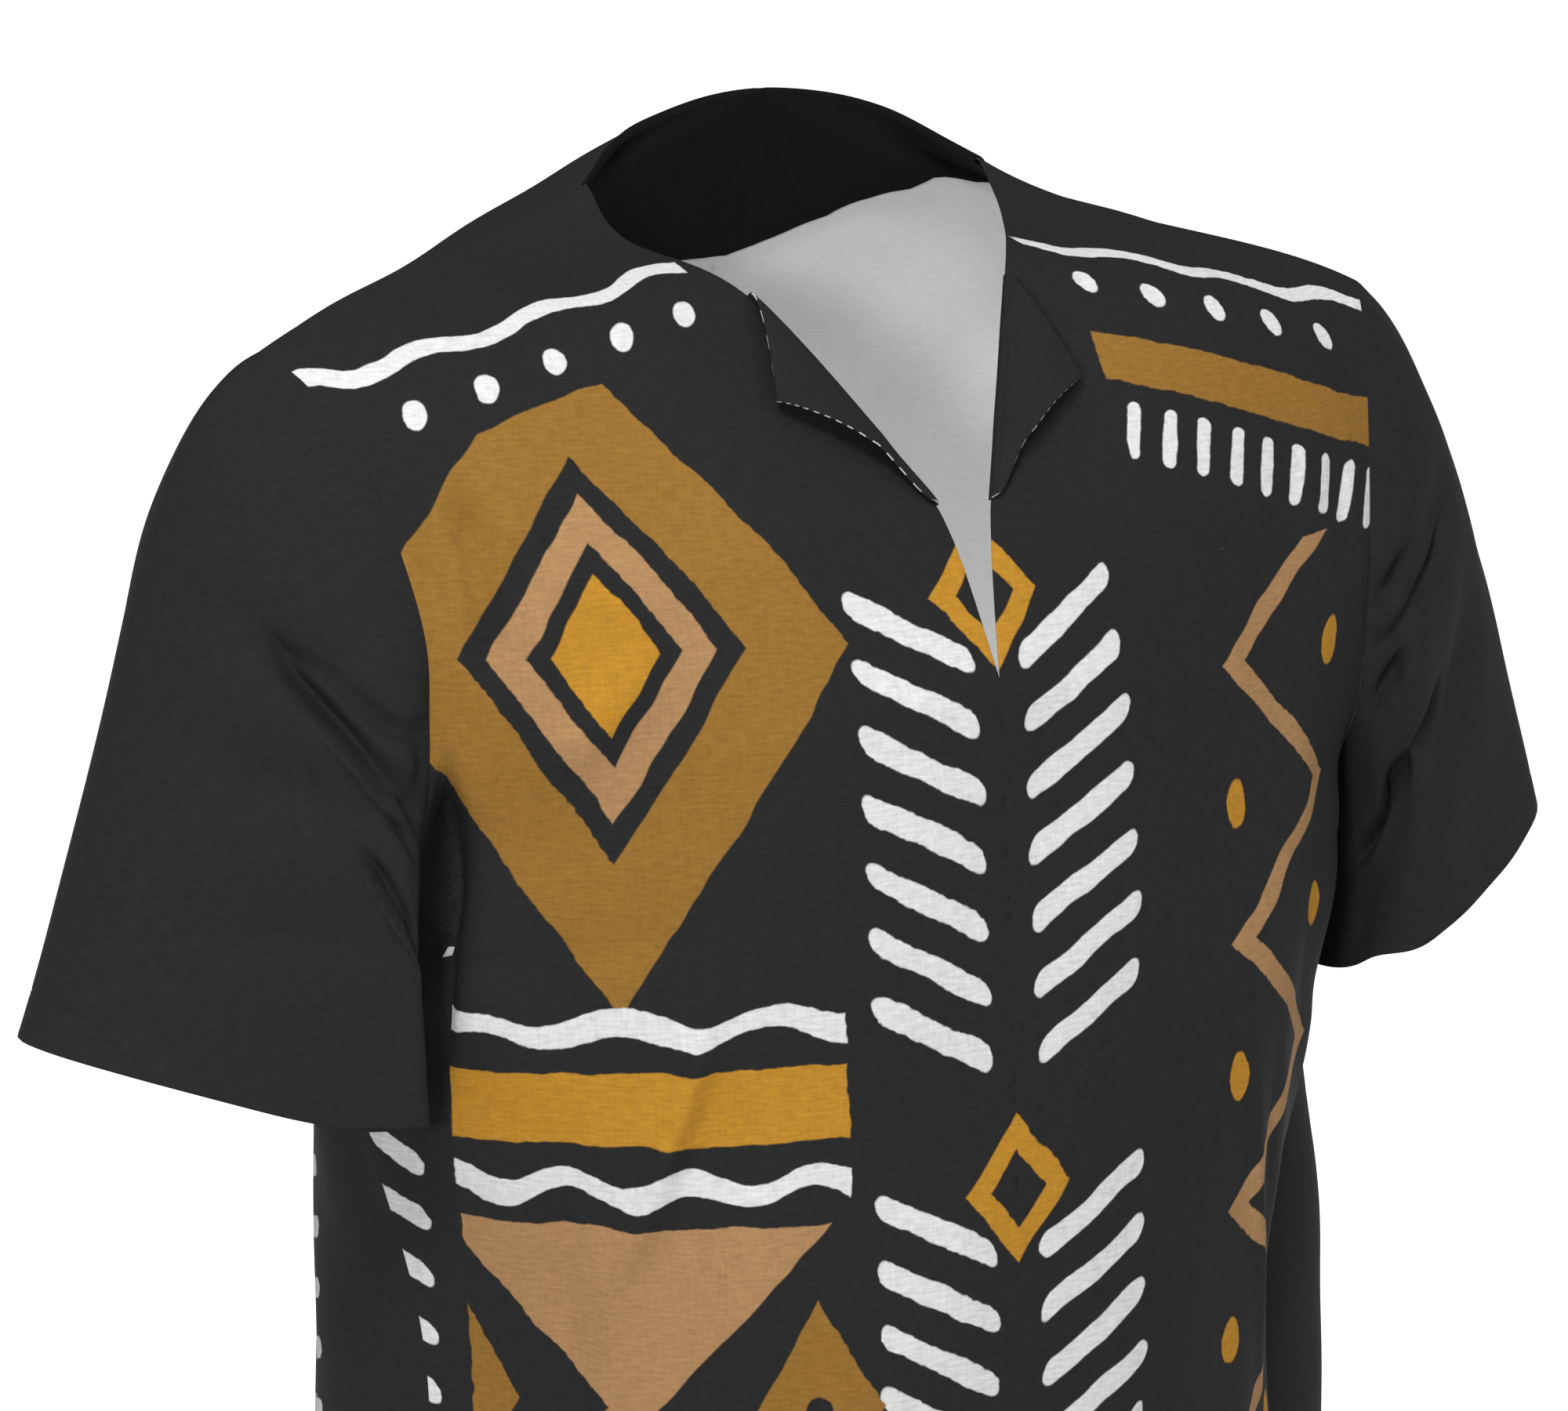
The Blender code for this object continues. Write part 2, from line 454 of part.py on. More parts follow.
def main():
    for old in list(bpy.data.objects):
        bpy.data.objects.remove(old, do_unlink=True)
    scene = bpy.context.scene
    scene.unit_settings.system = "METRIC"
    shirt = bpy.data.collections.new("dashiki_shirt")
    scene.collection.children.link(shirt)
    printed = cloth_material("printed_cloth", (0.034, 0.033, 0.033), 0.85)
    plain = cloth_material("charcoal_cloth", (0.032, 0.032, 0.032), 0.85)

    grids = {}
    for side in (RIGHT, LEFT):
        grids["front", side] = half_grids("front", front_at, side, FRONT_ARM, (0.2 * side, -1, 0.1))
        grids["back", side] = half_grids("back", back_at, side, BACK_ARM, (0.2 * side, 1, 0.1))
        down = np.linspace(0, 1, SLEEVE_STEPS + 1)
        rings = sleeve_at(side, down)
        turned = grid_normals(rings, (1, 0, 0))
        middle = rings.mean(axis=1, keepdims=True)
        if ((rings - middle) * turned).sum() < 0:
            turned = -turned
        seam = turned[:, 0] + turned[:, -1]
        turned[:, 0] = turned[:, -1] = seam / np.linalg.norm(seam, axis=-1, keepdims=True)
        depth = fold_depth("sleeve", side, rings)
        depth[0] *= 0.0
        rings = rings + turned * depth[..., None]
        grids["sleeve", side] = {"points": rings, "normals": turned}

    drapes = {}
    for side in (RIGHT, LEFT):
        front, back, sleeve = (grids[kind, side] for kind in ("front", "back", "sleeve"))
        drapes["facing", side] = neck_facing(back, front)
        drapes["lapel", side] = lapel(front)
        front_n, back_n, ring_n = (piece["normals"].copy() for piece in (front, back, sleeve))
        low = slice(0, ROWS_SIDE + 1)
        up = slice(ROWS_SIDE, None)
        count = ROWS_ARM + 1
        ahead = mitre(front_n[up, -1], ring_n[0, :count])
        behind = mitre(back_n[up, -1], ring_n[0, count - 1:][::-1])
        tip = mitre(front_n[-1, -1], back_n[-1, -1], ring_n[0, count - 1])
        front_n[up, -1], back_n[up, -1] = ahead[0], behind[0]
        sides = mitre(front["normals"][low, -1], back["normals"][low, -1])
        front_n[low, -1], back_n[low, -1] = sides
        front_n[-1], back_n[-1] = mitre(front["normals"][-1], back["normals"][-1])
        ring_n[0] = np.vstack([ahead[1], behind[1][::-1][1:]])
        front_n[-1, -1], back_n[-1, -1], ring_n[0, count - 1] = tip
        for piece, offsets in ((front, front_n), (back, back_n), (sleeve, ring_n)):
            piece["offsets"] = offsets

    half = SEAM_GAP / 2
    for kind, name in (("front", "front_panel"), ("back", "back_panel")):
        shell = Shell()
        for side in (RIGHT, LEFT):
            panel = grids[kind, side]
            points, nearest = panel["points"], panel["open"]
            out, into = points.copy(), points - panel["offsets"] * CLOTH
            for layer in (out, into):
                edge_back(layer, 1, -1, -2, half)
                edge_back(layer, 0, -1, -2, half)
                layer[: nearest + 1, 0, 0] = 0
            shell.add(out, into, (side == LEFT) == (kind == "back"))
        shell.mesh(name, shirt, printed)

    for side, name in ((RIGHT, "sleeve_right"), (LEFT, "sleeve_left")):
        rings = grids["sleeve", side]["points"]
        out, into = rings.copy(), rings - grids["sleeve", side]["offsets"] * CLOTH
        for layer in (out, into):
            edge_back(layer, 0, 0, 1, half)
            layer[:, -1] = layer[:, 0]
        shell = Shell()
        shell.add(out, into, side == LEFT)
        shell.mesh(name, shirt, plain)

    for side, name in ((RIGHT, "slit_facing_right"), (LEFT, "slit_facing_left")):
        shell = Shell()
        shell.add(*drapes["lapel", side], side == RIGHT)
        shell.mesh(name, shirt, plain)
    shell = Shell()
    for side in (RIGHT, LEFT):
        shell.add(*drapes["facing", side], side == LEFT)
    shell.mesh("back_neck_facing", shirt, plain)


main()
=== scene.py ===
"""The looks of a pullover dashiki shirt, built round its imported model.

Metres, +Z up. The front faces -Y and the wearer's left side is +X. Every piece of
cloth is a thin shell with turned edges, on the form of its solid.
"""

import logging
import math
from dataclasses import dataclass, field
from enum import Enum, IntEnum
from typing import Callable, Optional, Sequence, Union

import bpy
import numpy as np
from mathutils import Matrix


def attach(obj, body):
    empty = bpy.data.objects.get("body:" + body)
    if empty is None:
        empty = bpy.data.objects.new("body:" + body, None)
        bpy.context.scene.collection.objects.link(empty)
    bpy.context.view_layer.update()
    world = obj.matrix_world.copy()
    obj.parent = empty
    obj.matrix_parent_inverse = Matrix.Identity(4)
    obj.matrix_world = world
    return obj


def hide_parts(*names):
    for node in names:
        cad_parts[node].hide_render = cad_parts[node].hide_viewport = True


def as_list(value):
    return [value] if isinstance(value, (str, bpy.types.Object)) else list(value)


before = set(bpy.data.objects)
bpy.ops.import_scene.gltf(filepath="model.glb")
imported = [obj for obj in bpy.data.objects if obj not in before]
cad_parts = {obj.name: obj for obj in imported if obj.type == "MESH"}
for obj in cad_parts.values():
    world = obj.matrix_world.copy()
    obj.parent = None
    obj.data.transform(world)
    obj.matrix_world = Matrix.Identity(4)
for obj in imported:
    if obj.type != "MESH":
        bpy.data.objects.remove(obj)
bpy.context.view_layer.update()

Array = np.ndarray
Material = bpy.types.Material
Point = tuple[float, float, float]
Place = tuple[float, float]
Colour = tuple[float, float, float]
RowShape = tuple[Array, Array, Array, Array]
log = logging.getLogger("dashiki")

LYING_GAP = 0.0009  # between a panel and a facing that lies on it
SOLID_WALL = 0.0016  # wall of the solids that the shells stand for
CLOTH = 0.0006  # wall of the cloth itself
SEAM_BITE = 0.0006  # how far two folds that are sewn together press into each other
TURN_RADIUS = 0.0006  # of the fold of a turned edge
TURN_STEPS = 6  # round the fold of a turned edge
SEAM_TURNING = 0.008  # width of the cloth that is turned in at a seam
DRAWN_BACK = TURN_RADIUS - SEAM_BITE / 2  # of an edge that is sewn to another
EDGE_STEPS = (0.0012, 0.0030)  # from an edge to the net's first two lines inside it
GROOVE_WIDTH = 0.0011  # of the dent along a row of stitches
GROOVE_DEPTH = 0.00035
SOLID_ROUND = 28  # steps of the solids round a whole armhole
STILL: Point = (0.0, 0.0, 0.0)


class Side(IntEnum):
    """The wearer's own sides, as the sign of X."""

    RIGHT = -1
    LEFT = 1

    def of(self, pair: tuple) -> tuple:
        """This side's part of a pair that has the right side's first."""
        return pair[self > 0]


class Cloth(Enum):
    """The record's material slots."""

    PRINTED = "printed_cloth"
    CHARCOAL = "charcoal_cloth"


# ---- curves and lines
def unit(vectors: Array) -> Array:
    """The vectors at length one."""
    return vectors / np.maximum(np.linalg.norm(vectors, axis=-1, keepdims=True), 1e-12)


def in_cloth(direction: Array, normal: Array) -> Array:
    """The part of a direction that lies in the cloth, at length one."""
    return unit(direction - (direction * normal).sum(-1, keepdims=True) * normal)


def eased(x: Array) -> Array:
    """Rises smoothly from 0 to 1 as x does."""
    x = np.clip(x, 0, 1)
    return x * x * (3 - 2 * x)


def run(points: Array, axis: int = 0) -> Array:
    """How far each point is along its line of a grid."""
    step = np.linalg.norm(np.diff(points, axis=axis), axis=-1)
    return np.insert(np.cumsum(step, axis=axis), 0, 0.0, axis=axis)


def read_line(places: Array, marks: Array, line: Array) -> Array:
    """Points at places along a line whose own points are at marks."""
    return np.stack([np.interp(places, marks, part) for part in line.T], axis=-1)


def through(knots: Sequence[float], values: Sequence, t: Array, corners: tuple = ()) -> Array:
    """Reads a smooth curve through values at knots, bent sharply at some of them.

    Args:
        knots: places of the values along the curve.
        values: numbers or points at the knots.
        t: where the curve is read.
        corners: knots where its direction may jump.

    Returns:
        The curve's values at t.
    """
    t = np.asarray(t, float)
    if corners:
        bend, rest = corners[0], corners[1:]
        k = list(knots).index(bend)
        before = through(knots[: k + 1], values[: k + 1], np.minimum(t, bend), rest)
        after = through(knots[k:], values[k:], np.maximum(t, bend), rest)
        return np.where((t <= bend)[..., None], before, after)
    knots = np.asarray(knots, float)
    values = np.asarray(values, float)
    slopes = np.gradient(values, knots, axis=0)
    t = np.clip(t, knots[0], knots[-1])
    i = np.clip(np.searchsorted(knots, t, side="right") - 1, 0, len(knots) - 2)
    width = (knots[i + 1] - knots[i])[..., None]
    s = (t[..., None] - knots[i][..., None]) / width
    first = (2 * s**3 - 3 * s**2 + 1) * values[i] + (s**3 - 2 * s**2 + s) * width * slopes[i]
    second = (3 * s**2 - 2 * s**3) * values[i + 1] + (s**3 - s**2) * width * slopes[i + 1]
    return first + second


def bow(start: Array, start_pull: Array, end: Array, end_pull: Array, u: Array) -> Array:
    """Reads the curve from start to end with a pull at each end.

    Args:
        start: first point of the curve.
        start_pull: its pull there, as for a curve's handle.
        end: last point of the curve.
        end_pull: its pull there.
        u: where it is read, from 0 to 1.

    Returns:
        The points at u.
    """
    u = np.asarray(u, float)[..., None]
    v = 1 - u
    near = v**3 * start + 3 * v * v * u * (start + start_pull)
    return near + 3 * v * u * u * (end + end_pull) + u**3 * end


def normals_of(points: Array, outward: Point) -> Array:
    """Finds the unit normals of a grid of points.

    Args:
        points: the grid, rows by columns.
        outward: a direction that the middle normal must agree with.

    Returns:
        A grid of normals.
    """
    normal = unit(np.cross(np.gradient(points, axis=0), np.gradient(points, axis=1)))
    middle = normal[normal.shape[0] // 2, normal.shape[1] // 2]
    return normal if middle @ np.asarray(outward, float) > 0 else -normal


def closed(normals: Array, opening: int) -> Array:
    """A half panel's normals, turned straight ahead on its middle line below the opening."""
    normals[: opening + 1, 0, 0] = 0
    return np.concatenate([unit(normals[:, :1]), normals[:, 1:]], axis=1)


def closer(full: float, steps: int, fine: Place, gain: float) -> Array:
    """Places along a length that lie closer together between two of its places.

    Args:
        full: the length.
        steps: how many steps there are.
        fine: where the close places start and end.
        gain: how many times closer they lie there.

    Returns:
        The places, from 0 to the full length.
    """
    blend = 0.02
    marks = np.linspace(0, full, 801)
    density = 1 + (gain - 1) * eased((marks - fine[0]) / blend) * eased((fine[1] - marks) / blend)
    count = np.insert(np.cumsum((density[1:] + density[:-1]) / 2), 0, 0.0)
    return np.interp(np.linspace(0, count[-1], steps + 1), count, marks)


def drawn_back(points: Array, distance: float = DRAWN_BACK) -> Array:
    """Shortens every line of a net at its start and spreads its points over what is left.

    Args:
        points: the net, with its lines along the first axis.
        distance: how far each line's start moves along it.

    Returns:
        The shortened net.
    """
    shorter = points.copy()
    for j, way in enumerate(run(points).T):
        shorter[:, j] = read_line(distance + way * (1 - distance / way[-1]), way, points[:, j])
    return shorter


# ---- folds and creases
@dataclass(frozen=True)
class Fold:
    """A broad fold between two points in space, which the solid has too."""

    start: Array
    end: Array
    half_width: float
    height: float
    taper: float = 0.3
    tip: float = 0.4

    def moved(self, points: Array) -> Array:
        """Finds how far the fold moves points along their normals.

        Args:
            points: the points of a piece.

        Returns:
            The move of each.
        """
        line = self.end - self.start
        along = ((points - self.start) @ line) / (line @ line)
        nearest = self.start + np.clip(along, 0, 1)[..., None] * line
        away = np.linalg.norm(points - nearest, axis=-1)
        full = np.clip(np.minimum(along, 1 - along) / self.taper, 0, 1)
        share = full * (1 - self.tip) + self.tip
        return self.height * share * np.exp(-((away / self.half_width) ** 2))


def fold(*sizes: float) -> Fold:
    """A fold from its two ends, its half width and its height, all in millimetres."""
    start, end, rest = np.split(np.array(sizes) / 1000, (3, 6))
    return Fold(start, end, *rest)


def folded(points: Array, folds: Sequence[Fold], side: Side) -> Array:
    """How far the folds on one side move points along their normals."""
    here = [each.moved(points) for each in folds if each.start[0] * side > 0]
    return sum(here, np.zeros(points.shape[:-1]))


@dataclass(frozen=True)
class Crease:
    """A fine crease along a path on the cut, as a trough (minus) or a ridge (plus)."""

    half_width: float
    height: float
    path: Array
    fade: float
    swing: float
    smoothing: int = 8
    reach: float = 3.0
    tip_width: float = 0.75
    wander: float = 9.0
    shift: float = 2.1

    def moved(self, chart: Array, number: int) -> Array:
        """Finds how far the crease moves points along their normals.

        Args:
            chart: each point's place on the flat cut.
            number: which crease of its piece it is, since each wanders in its own way.

        Returns:
            The move of each.
        """
        moved = np.zeros(chart.shape[:-1])
        knots = np.linspace(0, 1, len(self.path))
        path = through(knots, self.path, np.linspace(0, 1, self.smoothing * len(knots)))
        reach = self.reach * self.half_width
        near = np.all((chart > path.min(0) - reach) & (chart < path.max(0) + reach), axis=-1)
        spots = chart[near]
        best = np.full(len(spots), np.inf)
        along = np.zeros(len(spots))
        for k, line in enumerate(np.diff(path, axis=0)):
            offset = spots - path[k]
            part = np.clip(offset @ line / (line @ line), 0, 1)
            away = np.linalg.norm(offset - part[:, None] * line, axis=-1)
            nearer = away < best
            best[nearer] = away[nearer]
            along[nearer] = (k + part[nearer]) / (len(path) - 1)
        ends = eased(np.minimum(along, 1 - along) / self.fade)
        wander = 1 + self.swing * np.sin(self.wander * along + self.shift * number)
        width = self.half_width * (self.tip_width + (1 - self.tip_width) * ends)
        moved[near] = self.height * ends * wander * np.exp(-((best / width) ** 2))
        return moved


def crease(width: float, height: float, *path: float, fade: float = 0.35, swing: float = 0.25) -> Crease:
    """A crease from its half width, height and path's places in turn, in millimetres."""
    return Crease(width / 1000, height / 1000, np.reshape(path, (-1, 2)) / 1000, fade, swing)


def creased(chart: Array, creases: Sequence[Crease]) -> Array:
    """How far the fine creases move points along their normals."""
    moves = [each.moved(chart, number) for number, each in enumerate(creases)]
    return sum(moves, np.zeros(chart.shape[:-1]))


def settled(chart: Array, seed: int, height: float, length: float) -> Array:
    """The slight unevenness of cloth that hangs: a few crossing waves.

    Args:
        chart: each point's place on the flat cut.
        seed: chooses the waves.
        height: how high they are.
        length: the shortest of them.

    Returns:
        The move of each point, in metres.
    """
    waves = 9
    draws = np.random.default_rng(seed)
    moved = np.zeros(chart.shape[:-1])
    for _ in range(waves):
        lean = draws.uniform(-0.5, 0.5)
        step = 2 * math.pi / (length * draws.uniform(1, 3))
        phase = draws.uniform(0, 2 * math.pi)
        way = chart[..., 0] * math.cos(lean) + chart[..., 1] * math.sin(lean)
        bend = 0.02 * np.sin(chart[..., 1] * draws.uniform(14, 30) + phase)
        moved += np.sin((way + bend) * step + phase)
    return moved * height / math.sqrt(waves)


def sunk(height: Array) -> Array:
    """How deep stitches draw the cloth in, from its height above their row."""
    return GROOVE_DEPTH * np.exp(-((height / GROOVE_WIDTH) ** 2))


# ---- cloth
@dataclass
class Net:
    """A net of points on a piece of cloth, rows by columns.

    A panel's net also has its rows and fractions across, and the row where it opens.
    """

    points: Array
    normals: Array
    chart: Array
    rows: Optional[Array] = None
    across: Optional[Array] = None
    opening: int = 0

    def read(self, row: Array, across: Array) -> tuple[Array, Array]:
        """Reads points and normals between those of the net.

        Args:
            row: rows of the panel's table.
            across: fractions across the panel.

        Returns:
            The points and their unit normals.
        """
        i = np.interp(row, self.rows, np.arange(len(self.rows)))
        low = np.clip(i.astype(int), 0, len(self.rows) - 2)
        part = (i - low)[..., None]
        columns = self.across[low] * (1 - part) + self.across[low + 1] * part
        last = self.across.shape[1] - 1
        j = np.empty(row.shape)
        for place in np.ndindex(row.shape):
            j[place] = np.interp(across[place], columns[place], np.arange(last + 1))
        left = np.clip(j.astype(int), 0, last - 1)
        over = (j - left)[..., None]
        found = []
        for grid in (self.points, self.normals):
            near = grid[low, left] * (1 - over) + grid[low, left + 1] * over
            far = grid[low + 1, left] * (1 - over) + grid[low + 1, left + 1] * over
            found.append(near * (1 - part) + far * part)
        return found[0], unit(found[1])

    def turned(
        self, reach: float, start: int = 0, swap: bool = False, flip: bool = False
    ) -> tuple[Array, Array]:
        """Turns an edge to the inside and lays it against the piece.

        Args:
            reach: how wide the turning is.
            start: the first row that has it.
            swap: whether the edge crosses the rows, instead of running along one.
            flip: whether it is the last edge of the net, instead of the first.

        Returns:
            The turning's points and their places on the cut, laid as those of the net.
        """
        points, normals, chart = (grid[start:] for grid in (self.points, self.normals, self.chart))
        if swap:
            points, normals, chart = (grid.swapaxes(0, 1) for grid in (points, normals, chart))
        if flip:
            points, normals, chart = points[::-1], normals[::-1], chart[::-1]
        edge, normal = points[0], normals[0]
        outward = in_cloth(edge - points[1], normal)
        middle = points.shape[1] // 2
        width = np.linalg.norm(points[:, middle] - points[0, middle], axis=-1)
        away = unit(chart[0] - chart[1])
        lines, flat = [], []
        for angle in np.linspace(0, math.pi, TURN_STEPS + 1):
            turn = math.cos(angle) * normal + math.sin(angle) * outward
            lines.append(edge + TURN_RADIUS * (turn - normal))
            flat.append(chart[0] + away * TURN_RADIUS * angle)
        for k in range(1, max(2, int(np.searchsorted(width, reach)))):
            lines.append(points[k] - 2 * TURN_RADIUS * normals[k])
            flat.append(flat[TURN_STEPS] + away * width[k])
        grids = [np.stack(grid if flip else grid[::-1]) for grid in (lines, flat)]
        return tuple(grid.swapaxes(0, 1) if swap else grid for grid in grids)


def placed(
    name: str, data: bpy.types.Mesh, cloth: Cloth, finishes: Sequence[Material]
) -> bpy.types.Object:
    """Makes a mesh's object, smooth and dressed, and rides it on the shirt.

    Args:
        name: the piece's name.
        data: its mesh.
        cloth: the slot that it belongs to; not used.
        finishes: its materials in order.

    Returns:
        The object.
    """
    for finish in finishes:
        data.materials.append(finish)
    data.polygons.foreach_set("use_smooth", [True] * len(data.polygons))
    piece = bpy.data.objects.new(name, data)
    bpy.context.scene.collection.objects.link(piece)
    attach(piece, "root")
    log.info("%s: %d faces", name, len(data.polygons))
    return piece


@dataclass
class Sheet:
    """Collects nets of cloth into one sheet, and gives it its wall and its faces' finishes."""

    name: str
    node: str
    cloth: Cloth
    flat: Place
    area: float
    held: str = "hung"
    rests_on: tuple[str, ...] = ()
    points: list[Array] = field(default_factory=list)
    chart: list[Array] = field(default_factory=list)
    faces: list[Array] = field(default_factory=list)
    count: int = 0

    def add(self, points: Array, chart: Array, turn: bool) -> None:
        """Adds a net.

        Args:
            points: the net's points, rows by columns.
            chart: their places on the flat cut.
            turn: whether its faces have to be turned round.
        """
        rows, columns = points.shape[:2]
        number = np.arange(rows * columns).reshape(rows, columns) + self.count
        corners = (number[:-1, :-1], number[:-1, 1:], number[1:, 1:], number[1:, :-1])
        faces = np.stack([c.ravel() for c in corners], axis=-1)
        self.faces.append(faces[:, ::-1] if turn else faces)
        self.points.append(points.reshape(-1, 3))
        self.chart.append(chart.reshape(-1, 2))
        self.count += rows * columns

    def build(self, finishes: Sequence[Material]) -> bpy.types.Object:
        """Makes the sheet's object, in place of its solid.

        Args:
            finishes: for its outer side, its inner side and its raw edge.

        Returns:
            The object, with its wall.
        """
        points, chart, faces = (np.vstack(part) for part in (self.points, self.chart, self.faces))
        _, first, index = np.unique(np.round(points, 6), axis=0, return_index=True, return_inverse=True)
        joined = index.reshape(-1)[faces]
        corners = np.sort(joined, axis=1)
        whole = np.flatnonzero((np.diff(corners, axis=1) > 0).all(axis=1))
        _, once = np.unique(corners[whole], axis=0, return_index=True)
        kept = whole[np.sort(once)]
        data = bpy.data.meshes.new(self.name)
        data.from_pydata(points[first].tolist(), [], joined[kept].tolist())
        layer = data.uv_layers.new(name="flat_cut")
        layer.data.foreach_set("uv", chart[faces[kept].ravel()].ravel())
        data.validate()
        piece = placed(self.name, data, self.cloth, finishes)
        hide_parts(self.node)
        shell = piece.modifiers.new("wall", "SOLIDIFY")
        shell.thickness = CLOTH
        shell.offset = -1
        shell.material_offset = 1
        shell.material_offset_rim = 2
        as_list(self.rests_on)
        return piece


# ---- panels
@dataclass
class Panel:
    """Half panels of the body, from tables of rows given for the side where X is positive.

    A row has its inner end, its outer end and the pull of its curve at each end. What
    differs from side to side is given as a pair, with the right side's first.
    """

    name: str
    node: str
    outward: float
    table: tuple[RowShape, ...]
    open_row: int
    # Steps from the underarm to the shoulder seam, how many of them lie below the row
    # where the panel opens, and how many of the solid's own steps do.
    arm_steps: int
    steps_below: int
    solid_below: int
    folds: tuple[Fold, ...]
    creases: tuple[Crease, ...]
    seed: int
    flat: Place
    area: float
    # How far the curve below the arm bulges, and how far its side seam moves.
    swell: tuple[Point, Point] = (STILL, STILL)
    swing: tuple[Point, Point] = (STILL, (-0.008, -0.0165, 0))
    swell_rows: float = 2.2
    # How far the shoulder slopes lower near the neck, near the arm and at the arm.
    slope: tuple[Point, Point] = ((-0.014, 0.005, 0.006), (-0.024, 0.004, 0))
    slope_row: float = 7.0
    slope_rows: float = 2.0
    underarm_row: int = 4
    nape_level: float = 0.0
    columns: int = 78
    pitch: float = 0.0036
    hem: float = 0.020
    neck_turning: float = 0.009
    # Lengths from the side seam, the shoulder seam and the middle over which folds fade.
    fold_fade: Point = (0.028, 0.030, 0.035)
    crease_fade: Place = (0.006, 0.012)
    waves: Place = (0.0007, 0.045)
    nets: dict[Side, Net] = field(default_factory=dict)

    def surface(self, row: Array, across: Array, side: Side) -> Array:
        """Reads points of a half panel.

        Args:
            row: rows of its table.
            across: fractions across it.
            side: the half.

        Returns:
            The points.
        """
        knots = list(range(len(self.table)))
        bends = ((self.open_row,), (self.underarm_row,), (), ())
        inner, outer, pull_in, pull_out = (
            through(knots, [line[k] for line in self.table], row, bends[k]) for k in range(4)
        )
        above = np.clip(row - self.open_row, 0, 1)[..., None]
        inner = inner + above * (1 - above) ** 2 * np.array((0, 0, self.nape_level))
        low = eased((self.underarm_row - row) / self.swell_rows)[..., None]
        high = eased((row - self.slope_row) / self.slope_rows)[..., None]
        near, far, tip = side.of(self.slope)
        swell = np.array(side.of(self.swell))
        pull_in = pull_in + low * np.array((swell[0] / 2, 0, 0)) + high * np.array((0, 0, near))
        pull_out = pull_out + low * swell + high * np.array((0, 0, far))
        outer = outer + low * np.array(side.of(self.swing)) + high * np.array((0, 0, tip))
        return bow(inner, pull_in, outer, pull_out, across) * np.array((side, 1, 1))

    def side_rows(self) -> Array:
        """Rows from the hem to the underarm, closer at the hem's edge and stitching.

        Returns:
            The rows of the table, with fractions.
        """
        fine = np.linspace(0, self.underarm_row, 1201)
        middle = self.surface(fine, np.zeros(fine.shape), Side.LEFT)[:, 2]
        height = middle - middle[0]
        stitching = self.hem + np.array((-0.0016, -0.0006, 0.0006, 0.0018))
        even = np.arange(0.0062, height[-1] - 0.002, self.pitch)
        even = even[np.abs(even - self.hem) > 0.0030]
        wanted = np.sort(np.concatenate([(0, *EDGE_STEPS), stitching, even, height[-1:]]))
        return np.interp(wanted, height, fine)

    def arm_rows(self) -> Array:
        """Rows from the underarm to the shoulder seam, with the opening's row among them.

        Returns:
            The rows of the table, with fractions.
        """
        last = len(self.table) - 1
        low = np.linspace(self.underarm_row, self.open_row, self.steps_below + 1)
        high = np.linspace(self.open_row, last, self.arm_steps - self.steps_below + 1)
        return np.sort(np.concatenate([low, high[1:], (last - 0.040, last - 0.018)]))

    def evened(self, rows: Array, side: Side) -> Array:
        """Spaces points evenly across each row, and closer beside the seam.

        Args:
            rows: rows of the table.
            side: the half.

        Returns:
            The fractions across, row by row.
        """
        fine = np.linspace(0, 1, 201)
        across = np.empty((len(rows), self.columns + 1))
        for k, row in enumerate(rows):
            length = run(self.surface(np.full(fine.shape, row), fine, side))
            even = np.linspace(0, length[-1] - EDGE_STEPS[1], self.columns - 1)
            places = np.append(even, (length[-1] - EDGE_STEPS[0], length[-1]))
            across[k] = np.interp(places, length, fine)
        return across

    def net(self, side: Side) -> Net:
        """Makes the net of one half, with its folds and creases.

        Args:
            side: the half.

        Returns:
            The net.
        """
        rows = np.concatenate([self.side_rows(), self.arm_rows()[1:]])
        opening = int(np.argmin(np.abs(rows - self.open_row)))
        across = self.evened(rows, side)
        points = self.surface(np.repeat(rows[:, None], across.shape[1], axis=1), across, side)
        u = np.abs(points[:, :1, 0]) + run(points, axis=1)
        v = np.insert(np.cumsum(rises(points, u, 0.25), axis=0), 0, 0.0, axis=0)
        chart = np.stack([side * u, v], axis=-1)
        to_side, to_shoulder = u[:, -1:] - u, v[-1:] - v
        outward = (0.2 * side, self.outward, 0.1)
        normals = closed(normals_of(points, outward), opening)
        broad = folded(points, self.folds, side)
        for distance, fade in zip((to_side, to_shoulder, u), self.fold_fade):
            broad *= eased(distance / fade)
        fine = creased(chart, self.creases) + settled(chart, self.seed, *self.waves)
        fine *= eased(to_side / self.crease_fade[0]) * eased(to_shoulder / self.crease_fade[1])
        points = points + normals * (broad + fine - sunk(v - self.hem))[..., None]
        points[: opening + 1, 0, 0] = 0
        points = drawn_back(points[:, ::-1].swapaxes(0, 1)).swapaxes(0, 1)[:, ::-1]
        points = drawn_back(points[::-1])[::-1]
        points[: opening + 1, 0, 0] = 0
        normals = closed(normals_of(points, outward), opening)
        return Net(points, normals, chart, rows, across, opening)

